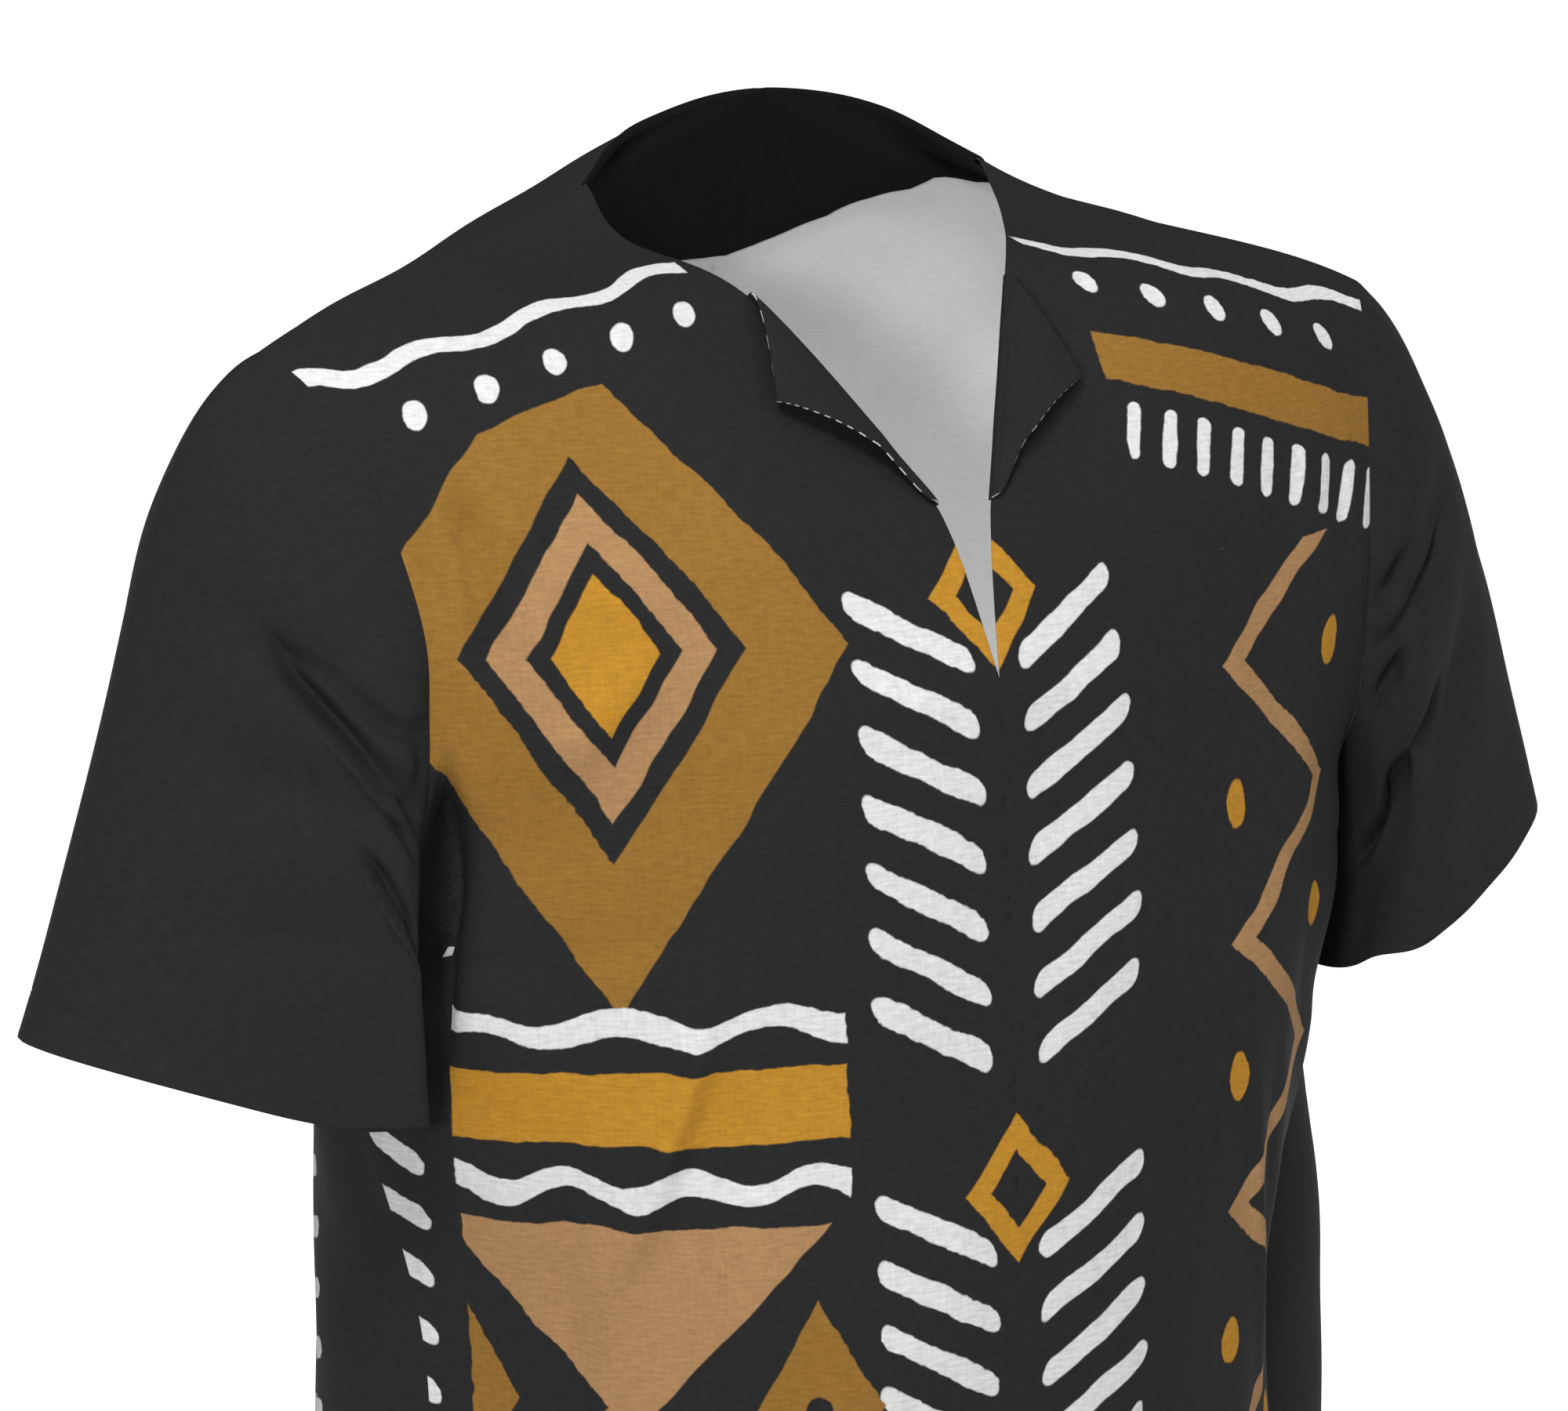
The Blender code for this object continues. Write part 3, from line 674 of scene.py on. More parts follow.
    def build(self, finishes: Sequence[Material]) -> bpy.types.Object:
        """Makes the whole panel, with its hem, neck, seam and shoulder turnings.

        Args:
            finishes: for its outer side, its inner side and its raw edge.

        Returns:
            The panel's object.
        """
        sheet = Sheet(self.name, self.node, Cloth.PRINTED, self.flat, self.area)
        for side in Side:
            net = self.nets[side] = self.net(side)
            hem = net.turned(self.hem)
            hem[0][:, 0, 0] = 0
            neck = net.turned(self.neck_turning, start=net.opening, swap=True)
            seam = net.turned(SEAM_TURNING, swap=True, flip=True)
            shoulder = net.turned(SEAM_TURNING, flip=True)
            for part in ((net.points, net.chart), hem, neck, seam, shoulder):
                sheet.add(*part, turn=(side == Side.LEFT) == (self.outward > 0))
        return sheet.build(finishes)


def rises(points: Array, u: Array, least: float) -> Array:
    """How far each row of a net rises above the one before it on the flat cut.

    Args:
        points: the net's points.
        u: their places across the cut.
        least: the least share of a step that counts as rise.

    Returns:
        The rises, one row fewer than the net has.
    """
    up = np.linalg.norm(np.diff(points, axis=0), axis=-1)
    return np.sqrt(np.maximum(up**2 - np.diff(u, axis=0) ** 2, (least * up) ** 2))


def panel_rows(*lines: tuple[float, ...]) -> tuple[RowShape, ...]:
    """A panel's table from twelve numbers a row, in millimetres."""
    return tuple(tuple(np.split(np.array(line) / 1000, 4)) for line in lines)


FRONT_ROWS = panel_rows(
    (0, -164, -750, 216, -42, -750, 140, 0, 0, -40, -55, 0),
    (0, -165.5, -600, 206, -43, -600, 140, 0, 0, -42, -52, 0),
    (0, -165, -460, 199.3, -43.5, -460, 138, 0, 0, -40, -52, 0),
    (0, -159, -345, 219, -37, -362, 132, 0, 0, -26, -62, 0),
    (0, -153, -262, 234, -20, -290, 125, 0, 0, 0, -74, 4),
    (0, -145.8, -184.7, 217.5, -78, -232, 105, 2, -4, -40, -34, 6),
    (9.6, -122.2, -127, 215.5, -88, -178, 78, -8, -10, -46, -30, 8),
    (21.3, -106, -102, 218, -85, -142, 58, -14, -10, -50, -26, 12),
    (59, -53.5, -40, 229, -66, -92, 50, -12, 0, -52, -12, 24),
    (88.1, -5.8, -20.9, 241, -45, -67, 50, -8, 0, -50, 0, 20),
    (92.2, 19, -1, 253, -24, -57, 50, -8, -7, -50, 8, 21),
)
BACK_ROWS = panel_rows(
    (0, 130, -750, 216, -42, -750, 140, 0, 0, 44, 112, 0),
    (0, 129, -600, 206, -43, -600, 140, 0, 0, 48, 112, 0),
    (0, 127, -460, 199.3, -43.5, -460, 140, 0, 0, 51, 112, 0),
    (0, 125, -345, 219, -37, -362, 135, 0, 0, 22, 95, 0),
    (0, 122, -262, 234, -20, -290, 125, 0, 0, -2, 75, 4),
    (0, 115, -170, 218, 45, -235, 110, 0, 0, -35, 40, 10),
    (0, 96, -85, 219, 58, -160, 100, 0, 0, -50, 26, 20),
    (0, 65, -15, 229, 42, -110, 75, 0, -4, -55, 18, 34),
    (0, 40, 30, 239, 17, -78, 50, 12, -14, -55, 14, 26),
    (56, 39, 20, 247, -5, -64, 42, 14, -13, -52, 10, 22),
    (92.2, 19, -1, 253, -24, -57, 50, -8, -7, -50, 8, 21),
)
FRONT_FOLDS = (
    fold(-196, -110, -190, -180, -122, -330, 14, -4.5),
    fold(-150, -140, -200, -135, -150, -420, 22, -4),
    fold(-120, -155, -330, -118, -160, -640, 16, 5),
    fold(198, -105, -200, 182, -120, -400, 16, -5),
    fold(192, -85, -360, 188, -85, -740, 12, 5),
    fold(110, -160, -420, 120, -160, -750, 22, -5),
    fold(-50, -165, -480, -60, -165, -750, 24, -4.5),
)
BACK_FOLDS = (
    fold(-190, 80, -230, -150, 110, -420, 18, -6),
    fold(190, 80, -230, 145, 110, -440, 18, -6),
    fold(60, 120, -330, 70, 130, -750, 26, -7),
    fold(-75, 120, -380, -85, 130, -750, 26, -7),
    fold(-170, 90, -450, -180, 90, -750, 22, 5),
    fold(175, 90, -420, 185, 90, -750, 22, 5),
)
SLEEVE_FOLDS = (
    fold(-217, -90, -196, -286, -62, -142, 12, -5),
    fold(-220, -90, -222, -296, -68, -196, 14, -5),
    fold(-226, -82, -262, -300, -74, -262, 14, -3.5),
    fold(226, -90, -190, 285, -66, -130, 12, -4.5),
    fold(228, -88, -282, 300, -70, -190, 16, -6),
    fold(-222, 62, -200, -292, 60, -150, 14, -4.5),
    fold(222, 62, -210, 290, 62, -160, 14, -4.5),
)
FRONT_CREASES = (
    crease(6.4, -6.2, -205, 662, -203, 640, -202, 606, -203, 566),
    crease(5, -2, -217, 650, -219, 624, -223, 600),
    crease(6.7, -20.5, -228, 560, -226, 533, -226.5, 510, -229, 487, -232, 450, -234, 400, fade=0.3,
           swing=0.06),
    crease(6.4, 3.2, -192, 656, -182, 637, -171, 620, -154, 600),
    crease(11, 3.6, -136, 592, -163, 566, -188, 540),
    crease(6.8, 6.4, -116, 492, -127, 455, -133, 428, -143, 398, -152, 370, -166, 340, -170, 290),
    crease(9, -2.2, -104, 440, -118, 370, -130, 300, -128, 210),
    crease(8, -2.6, -178, 430, -186, 350, -182, 240),
    crease(5.5, 2.6, 131, 450, 140, 345, 158, 258, 166, 130),
    crease(7, -3, 150, 430, 160, 340, 180, 250, 184, 150),
    crease(6, -2.6, 206, 650, 203, 612, 208, 570),
    crease(7, 1.5, 186, 655, 182, 620, 170, 590),
    crease(10, -2.6, 60, 300, 72, 210, 68, 110),
    crease(9, -2.4, -52, 260, -60, 170, -57, 80),
)
BACK_CREASES = (
    crease(7, -3.4, -226, 660, -214, 620, -200, 578, -196, 530),
    crease(5.5, -2.6, -238, 610, -232, 572, -236, 540),
    crease(8, 1.8, -196, 640, -186, 600, -170, 560),
    crease(6.5, -3, 230, 655, 216, 612, 206, 560, 208, 520),
    crease(5, -2.4, 246, 600, 238, 565, 243, 530),
    crease(8, 2, 198, 650, 184, 604, 176, 548),
    crease(8, 3.2, -128, 470, -140, 380, -150, 270, -146, 170),
    crease(10, -2.8, -60, 420, -70, 300, -64, 180),
    crease(8, 2.8, 104, 450, 116, 350, 118, 250),
    crease(9, -3.2, 170, 400, 182, 300, 190, 180),
    crease(8.5, -3, -215, 400, -228, 300, -234, 190),
    crease(11, -2.6, 30, 330, 36, 220, 30, 120),
)
RIGHT_SLEEVE_CREASES = (
    crease(2.9, -3.4, -52, 179, -66, 171, -80, 168, -96, 166, -112, 161, -131, 156, -149, 151,
           -178, 144, fade=0.25),
    crease(2.6, 2.2, -102, 171, -125, 165, -145, 158, -168, 151),
    crease(4.4, -7.8, -60, 172, -70, 165, -80, 160, -92, 155, -106, 150, -121, 144, -145, 132,
           -175, 118, -198, 108, fade=0.22),
    crease(3, 2.2, -96, 159, -122, 151, -150, 142, -178, 131),
    crease(2.4, 2.2, -80, 153, -100, 144, -119, 135, -147, 120, -165, 111),
    crease(3, -4.2, -132, 124, -150, 116, -166, 107, -190, 96),
    crease(3.6, -6, -118, 110, -137, 99, -150, 84, -168, 66, -180, 53),
    crease(2, 1.8, -116, 105, -130, 96, -143, 80, -157, 63, -166, 50),
    crease(2.4, -1, -58, 180, -68, 169, -83, 154),
    crease(2.2, -1.3, -98, 200, -110, 191, -122, 188),
    crease(2.4, -1, -70, 192, -80, 181, -88, 177),
    crease(4, -1.2, -86, 136, -94, 124, -112, 112),
    crease(2.8, -3.4, 80, 172, 108, 160, 140, 150, 170, 142, 204, 132),
    crease(3, 2.2, 100, 150, 134, 140, 166, 130, 200, 122),
    crease(4.4, -4.8, 116, 138, 148, 126, 180, 114, 212, 100),
    crease(3.4, -3.2, 140, 106, 164, 94, 190, 78),
)
LEFT_SLEEVE_CREASES = (
    crease(3.4, -6.2, -56, 168, -75, 156, -100, 151, -120, 150, -135, 147, -159, 138, -181, 129,
           fade=0.22),
    crease(3, 1.8, -86, 160, -111, 160, -139, 156, -161, 147, -178, 139),
    crease(3.8, -7, -96, 171, -118, 168, -140, 161, -158, 151, -176, 141),
    crease(2.2, -2.2, -158, 142, -172, 136, -194, 127),
    crease(2.2, -2.2, -156, 134, -174, 128, -198, 121),
    crease(4.4, -8.4, -134, 137, -152, 130, -170, 121, -190, 115, -214, 108),
    crease(3, 2, -142, 126, -164, 117, -184, 108),
    crease(7, -8.2, -102, 112, -114, 101, -134, 94, -160, 82, -192, 64, -210, 45, -224, 28, fade=0.25),
    crease(2.8, -3.6, 74, 168, 100, 158, 134, 152, 164, 142, 200, 130),
    crease(3, 2.2, 110, 150, 140, 143, 172, 132, 200, 121),
    crease(4.8, -5, 124, 128, 150, 118, 182, 106, 214, 94),
    crease(3.6, -3.2, 150, 100, 172, 86, 196, 70),
)


# ---- sleeves
# Fractions round the armhole from the underarm by the front, then in millimetres the
# hem's point and its pull, and the pull away from the armhole.
CUFF = np.array((
    (0.00, 234, 0, -352, 2, 0, 26),
    (0.07, 232, -50, -350, 2, -4, 36),
    (0.15, 221, -93, -339, 6, -2, 50),
    (0.26, 260, -84, -335, -14, -10, 80),
    (0.36, 312, -64, -318, -34, -6, 110),
    (0.50, 355, -22, -304, -40, 0, 125),
    (0.64, 324, 32, -314, -30, 4, 115),
    (0.76, 295, 72, -325, -16, 8, 85),
    (0.88, 246, 54, -345, 0, 6, 40),
    (1.00, 234, 0, -352, 2, 0, 26),
))
CAP = np.array((
    (0.00, 6, 0, -16),
    (0.12, 10, -12, -30),
    (0.24, 30, -14, -40),
    (0.36, 50, -10, -30),
    (0.50, 48, 0, -20),
    (0.64, 50, 10, -28),
    (0.76, 34, 20, -40),
    (0.88, 12, 14, -30),
    (1.00, 6, 0, -16),
))


@dataclass
class Sleeve:
    """A set-in sleeve: a tube from the armhole of the panels to its own straight hem."""

    side: Side
    name: str
    node: str
    front: Panel
    back: Panel
    creases: tuple[Crease, ...]
    seed: int
    # How far the outer part is moved out at the hem, in the middle and at the armhole,
    # how far its hem is raised, and how far the hem's front corner is moved.
    hem_out: float
    middle_out: float
    top_out: float
    hem_up: float
    outer_reach: float = 0.4
    outer_power: float = 0.7
    tuck: Point = STILL
    tuck_at: float = 0.15
    tuck_reach: float = 0.11
    flat: Place = (0.50, 0.29)
    area: float = 0.093
    hem: float = 0.016
    down_steps: int = 132
    round_steps: int = 116
    # Lengths from the armhole and from the underarm between which the net is finer.
    close_down: Place = (0.060, 0.235)
    close_round: Place = (0.030, 0.215)
    closeness: float = 2.2
    fold_fade: float = 0.018
    crease_fade: float = 0.010
    waves: Place = (0.0006, 0.040)
    made: Optional[Net] = None

    def armhole(self) -> tuple[Array, Array]:
        """Points round the armhole from the underarm by the front, and their fractions.

        Returns:
            The points, and the fractions that the solid's own points have there.
        """
        ahead, ahead_way = self.armhole_half(self.front)
        behind, behind_way = self.armhole_half(self.back)
        points = np.vstack([ahead, behind[::-1][1:]])
        return points, np.concatenate([ahead_way, 1 - behind_way[::-1][1:]])

    def armhole_half(self, panel: Panel) -> tuple[Array, Array]:
        """Spaces points along a panel's half of the armhole, from the underarm up.

        Args:
            panel: the front or the back.

        Returns:
            The points, and the fractions that the solid's own points have there.
        """
        last = len(panel.table) - 1
        fine = np.linspace(panel.underarm_row, last, 601)
        length = run(panel.surface(fine, np.ones(fine.shape), self.side))
        places = closer(length[-1], self.round_steps, self.close_round, self.closeness)
        rows = np.interp(places, length, fine)
        knots = (panel.underarm_row, panel.open_row, last)
        way = np.interp(rows, knots, (0, panel.solid_below / SOLID_ROUND, 0.5))
        return panel.surface(rows, np.ones(rows.shape), self.side), way

    def rings(self, down: Array) -> Array:
        """Reads rings of the sleeve.

        Args:
            down: fractions down the sleeve.

        Returns:
            The rings' points, one ring a row.
        """
        start, way = self.armhole()
        flip = np.array((self.side, 1, 1)) / 1000
        end = through(CUFF[:, 0], CUFF[:, 1:4], way) * flip
        end_pull = through(CUFF[:, 0], CUFF[:, 4:], way) * flip
        start_pull = through(CAP[:, 0], CAP[:, 1:], way) * flip
        outer = np.clip(1 - abs(way - 0.5) / self.outer_reach, 0, 1)[:, None] ** self.outer_power
        corner = eased(1 - abs(way - self.tuck_at) / self.tuck_reach)[:, None]
        end = end + outer**2 * np.array((self.side * self.hem_out, 0, self.hem_up))
        end = end + corner * np.array(self.tuck) * np.array((self.side, 1, 1))
        end_pull = end_pull + outer * np.array((self.side * self.middle_out, 0, 0))
        start_pull = start_pull + outer * np.array((self.side * self.top_out, 0, 0))
        return np.stack([bow(start, start_pull, end, end_pull, np.full(len(way), d)) for d in down])

    def steps_down(self) -> Array:
        """Fractions down the sleeve, closer at the armhole, the stitching and the hem.

        Returns:
            The fractions.
        """
        fine = np.linspace(0, 1, 401)
        line = self.rings(fine)
        length = run(line[:, line.shape[1] // 2])
        full = length[-1]
        edges = (0, EDGE_STEPS[0], full - EDGE_STEPS[1], full - EDGE_STEPS[0], full)
        stitching = full - self.hem + np.array((-0.0018, -0.0006, 0.0006, 0.0018))
        even = closer(full, self.down_steps, self.close_down, self.closeness)
        even = even[(even > 0.0024) & (even < full - 0.0040)]
        even = even[np.abs(even - full + self.hem) > 0.0028]
        return np.interp(np.sort(np.concatenate([edges, stitching, even])), length, fine)

    @staticmethod
    def outward(points: Array) -> Array:
        """Finds the outward normals of a closed tube.

        Args:
            points: the tube's rings, one ring a row, whose ends meet.

        Returns:
            The normals, with one for both ends of a ring.
        """
        normals = normals_of(points, (1, 0, 0))
        if ((points - points.mean(axis=1, keepdims=True)) * normals).sum() < 0:
            normals = -normals
        normals[:, 0] = normals[:, -1] = unit(normals[:, 0] + normals[:, -1])
        return normals

    def net(self) -> Net:
        """Makes the net of the sleeve, with its folds and creases.

        Returns:
            The net.
        """
        points = self.rings(self.steps_down())
        normals = self.outward(points)
        u = run(points, axis=1)
        seam = np.minimum(u, u[:, -1:] - u)
        top = int(np.argmin(np.abs(self.armhole()[1] - 0.5)))
        u = u - u[:, top : top + 1]
        rise = rises(points, u, 0.5)
        v = np.vstack([np.cumsum(rise[::-1], axis=0)[::-1], np.zeros((1, points.shape[1]))])
        chart = np.stack([u, v], axis=-1)
        to_arm = v[:1] - v
        broad = folded(points, SLEEVE_FOLDS, self.side) * eased(to_arm / self.fold_fade)
        fine = creased(chart, self.creases) + settled(chart, self.seed, *self.waves)
        fine *= eased(to_arm / self.crease_fade) * eased(seam / self.crease_fade)
        points = points + normals * (broad + fine - sunk(v - self.hem))[..., None]
        points = drawn_back(points)
        normals = self.outward(points)
        points[:, -1] = points[:, 0]
        return Net(points, normals, chart)

    def build(self, finishes: Sequence[Material]) -> bpy.types.Object:
        """Makes the sleeve with its turned hem and its turning at the armhole.

        Args:
            finishes: for its outer side, its inner side and its raw edge.

        Returns:
            The sleeve's object.
        """
        self.made = net = self.net()
        sheet = Sheet(self.name, self.node, Cloth.CHARCOAL, self.flat, self.area)
        for part in ((net.points, net.chart), net.turned(SEAM_TURNING), net.turned(self.hem, flip=True)):
            sheet.add(*part, turn=self.side == Side.LEFT)
        return sheet.build(finishes)


# ---- facings
def rolled(
    edge: Array, out: Array, inward: Array, levels: Place, bulge: float, steps: int
) -> list[Array]:
    """Lines of a facing that rolls over an edge, from one level to another.

    Args:
        edge: the line that it rolls over.
        out: the cloth's normals along it.
        inward: the directions from it into the cloth.
        levels: how far out along the normals the roll starts and ends.
        bulge: how far it stands out past the edge, as a share of its radius.
        steps: how many steps it has.

    Returns:
        The lines, each as long as the edge.
    """
    middle, radius = sum(levels) / 2, (levels[0] - levels[1]) / 2
    return [
        edge + out * (middle + radius * math.cos(a)) - inward * abs(radius) * bulge * math.sin(a)
        for a in np.linspace(0, math.pi, steps + 1)
    ]


@dataclass
class BackNeckFacing:
    """The facing inside the back of the neck, whose top edge rolls over the panel's."""

    back: Panel
    name: str = "back_neck_lining"
    node: str = "back_neck_facing"
    flat: Place = (0.235, 0.075)
    area: float = 0.0135
    nape_row: int = 8
    row_length: float = 0.05
    steps: tuple[int, int, int] = (26, 26, 30)
    depth: float = SOLID_WALL + LYING_GAP + CLOTH
    roll_over: float = 0.0008
    hidden: float = 0.0022
    sink: float = 0.0005
    hidden_cut: float = 0.004
    # Rows of the back panel, and how far across it the facing reaches there on each side.
    reach: tuple[tuple[Place, ...], ...] = (
        (
            (6.60, 0.030), (6.62, 0.085), (6.67, 0.140), (6.82, 0.205), (7.10, 0.275),
            (7.50, 0.345), (8.00, 0.400), (8.50, 0.405), (9.00, 0.370), (10.00, 0.300),
        ),
        (
            (6.60, 0.012), (6.66, 0.055), (6.75, 0.105), (6.95, 0.188), (7.27, 0.270),
            (7.65, 0.340), (8.30, 0.405), (9.00, 0.370), (10.00, 0.300),
        ),
    )

    def build(self, finishes: Sequence[Material]) -> bpy.types.Object:
        """Makes the facing from the back panel's points, moved in.

        Args:
            finishes: for its shown side, its hidden side and its raw edge.

        Returns:
            The facing's object.
        """
        low, high, wide = self.steps
        foot = self.reach[0][0][0]
        lower = self.nape_row - (self.nape_row - foot) * (1 - np.linspace(0, 1, low + 1) ** 1.6)
        upper = np.linspace(self.nape_row, len(self.back.table) - 1, high + 1)[1:]
        rows = np.concatenate([lower, upper])
        row = np.repeat(rows[:, None], wide + 1, axis=1)
        sheet = Sheet(
            self.name, self.node, Cloth.CHARCOAL, self.flat, self.area, "stretched", ("dashiki_back",)
        )
        for side in Side:
            knots, widths = zip(*side.of(self.reach))
            across = np.interp(rows, knots, widths)[:, None] * np.linspace(0, 1, wide + 1)
            base, normal = self.back.nets[side].read(row, across)
            normal[: low + 1, 0, 0] = 0
            points = base - normal * self.depth
            points[: low + 1, 0, 0] = 0
            u = np.abs(points[:, :1, 0]) + run(points, axis=1)
            chart = np.stack([u * side, row * self.row_length], axis=-1)
            sheet.add(points, chart, turn=side == Side.RIGHT)
            edge, out = points[low:, 0], normal[low:, 0]
            inward = in_cloth(points[low:, 1] - edge, out)
            lines = rolled(edge, out, inward, (0.0, self.depth + self.roll_over), 1.0, 8)
            lines.append(lines[-1] + inward * self.hidden - out * self.sink)
            strip = np.stack(lines[::-1], axis=1)
            strip[0, :, 0] = 0
            flat = np.repeat(chart[low:, :1], len(lines), axis=1)
            flat[..., 0] -= side * np.linspace(self.hidden_cut, 0, len(lines))
            sheet.add(strip, flat, turn=side == Side.RIGHT)
        return sheet.build(finishes)


@dataclass
class SlitFacing:
    """A facing of the neck slit, rolled over the edge and turned out like a small lapel."""

    side: Side
    front: Panel
    name: str
    node: str
    steps: tuple[int, int] = (44, 22)
    lift: float = 0.0085
    puff: float = 0.0026
    inside: float = -0.0027
    bulge: float = 0.7
    hidden: tuple[float, ...] = (0.0025, 0.0050, 0.0075)
    hidden_cut: float = 0.012
    flat: Place = (0.050, 0.125)
    area: float = 0.0040
    # Fractions up the slit, the row of the front where the facing rolls over, then the
    # row and the fraction across of its free edge.
    line: tuple[tuple[float, ...], ...] = (
        (0.00, 6.45, 6.52, 0.012),
        (0.20, 7.04, 6.99, 0.036),
        (0.40, 7.26, 7.17, 0.070),
        (0.60, 7.50, 7.30, 0.110),
        (0.80, 7.74, 7.40, 0.155),
        (1.00, 8.00, 7.47, 0.188),
    )

    def build(self, finishes: Sequence[Material]) -> bpy.types.Object:
        """Makes the facing from the front panel's points, moved out, with its roll.

        Args:
            finishes: for its shown side, its hidden side and its raw edge.

        Returns:
            The facing's object.
        """
        along, share = (np.linspace(0, 1, steps + 1) for steps in self.steps)
        up, crown_row, rim_row, rim_across = np.array(self.line).T
        crown = through(up, np.stack([crown_row, 0 * crown_row], axis=-1), along)[:, None]
        rim = through(up, np.stack([rim_row, rim_across], axis=-1), along)[:, None]
        place = crown + (rim - crown) * share[None, :, None]
        base, normal = self.front.nets[self.side].read(place[..., 0], place[..., 1])
        # It lies flat at the slit's foot, and springs up most at half its height.
        full = np.clip(along * 3, 0.25, 1)[:, None]
        sprung = (0.35 + 0.65 * np.sin(math.pi * along) ** 0.7)[:, None]
        rise = self.lift * share**1.5 * sprung + self.puff * np.sin(math.pi * share**0.6)
        level = LYING_GAP + SOLID_WALL
        points = base + normal * (level + full * rise)[..., None]
        edge, out = base[:, 0], normal[:, 0]
        inward = in_cloth(base[:, 2] - edge, out)
        lines = rolled(edge, out, inward, (level, self.inside), self.bulge, 10)
        lines += [lines[-1] + inward * reach for reach in self.hidden]
        v = np.repeat(run(points[:, 0])[:, None], points.shape[1], axis=1)
        sheet = Sheet(
            self.name, self.node, Cloth.CHARCOAL, self.flat, self.area, "folded", ("dashiki_front",)
        )
        turn = self.side == Side.RIGHT
        sheet.add(points, np.stack([run(points, axis=1), v], axis=-1), turn)
        hidden = np.tile(np.linspace(-self.hidden_cut, 0, len(lines)), (len(points), 1))
        sheet.add(np.stack(lines[::-1], axis=1), np.stack([hidden, v[:, : len(lines)]], axis=-1), turn)
        return sheet.build(finishes)


# ---- stitches
@dataclass
class StitchRow:
    """A row of machine stitches along lines on the cloth, each a short sunk loop of thread."""

    name: str
    cloth: Cloth
    pitch: float = 0.0031
    length: float = 0.0025
    radius: float = 0.00023
    look_ahead: float = 0.0006
    sides: int = 6
    # Shares of the length, and the thread's thickness and height there in radii.
    form: tuple[Point, ...] = (
        (0.00, 0.15, -0.6),
        (0.10, 0.80, -0.1),
        (0.35, 1.00, 0.55),
        (0.65, 1.00, 0.55),
        (0.90, 0.80, -0.1),
        (1.00, 0.15, -0.6),
    )

    def faces(self) -> list[tuple[int, ...]]:
        """Faces of one stitch: its rings and its two ends.

        Returns:
            The numbers of each face's points.
        """
        faces = []
        for ring in range(len(self.form) - 1):
            for k in range(self.sides):
                a = ring * self.sides + k
                b = ring * self.sides + (k + 1) % self.sides
                faces.append((a, b, b + self.sides, a + self.sides))
        first = tuple(range(self.sides))
        return faces + [first[::-1], tuple(k + (len(self.form) - 1) * self.sides for k in first)]

    def build(self, lines: Sequence[tuple[Array, Array]], finish: Material) -> bpy.types.Object:
        """Makes all the stitches as one mesh.

        Args:
            lines: the points and normals of each line that they follow.
            finish: the thread's material.

        Returns:
            The stitches' object.
        """
        angles = 2 * math.pi * np.arange(self.sides) / self.sides
        part, wide, lift = np.array(self.form).T[..., None]
        spots = []
        for line, normal in lines:
            marks = run(line)
            for start in np.arange(self.pitch / 2, marks[-1] - self.pitch, self.pitch):
                places = start + self.length * part[:, 0]
                middle = read_line(places, marks, line)
                up = unit(read_line(places, marks, normal))
                ahead = read_line(places + self.look_ahead, marks, line)
                across = unit(np.cross(unit(ahead - middle + 1e-12), up))
                for k in range(len(places)):
                    turn = np.outer(np.cos(angles), across[k]) + np.outer(np.sin(angles), up[k])
                    spots.append(middle[k] + self.radius * (up[k] * lift[k] + turn * wide[k]))
        size = len(self.form) * self.sides
        points = np.concatenate(spots)
        bases = range(0, len(points), size)
        faces = [tuple(k + base for k in face) for base in bases for face in self.faces()]
        data = bpy.data.meshes.new(self.name)
        data.from_pydata(points.tolist(), [], faces)
        return placed(self.name, data, self.cloth, [finish])


def line_at(net: Net, height: float) -> tuple[Array, Array]:
    """Reads a net along its line at one height above the hem.

    Args:
        net: the net.
        height: the height on its flat cut.

    Returns:
        The line's points and normals.
    """
    line, normal = [], []
    for c in range(net.points.shape[1]):
        order = np.argsort(net.chart[:, c, 1])
        v = net.chart[order, c, 1]
        line.append(read_line(height, v, net.points[order, c]))
        normal.append(read_line(height, v, net.normals[order, c]))
    return np.array(line), unit(np.array(normal))


# ---- shader expressions
Value = Union["Field", float]


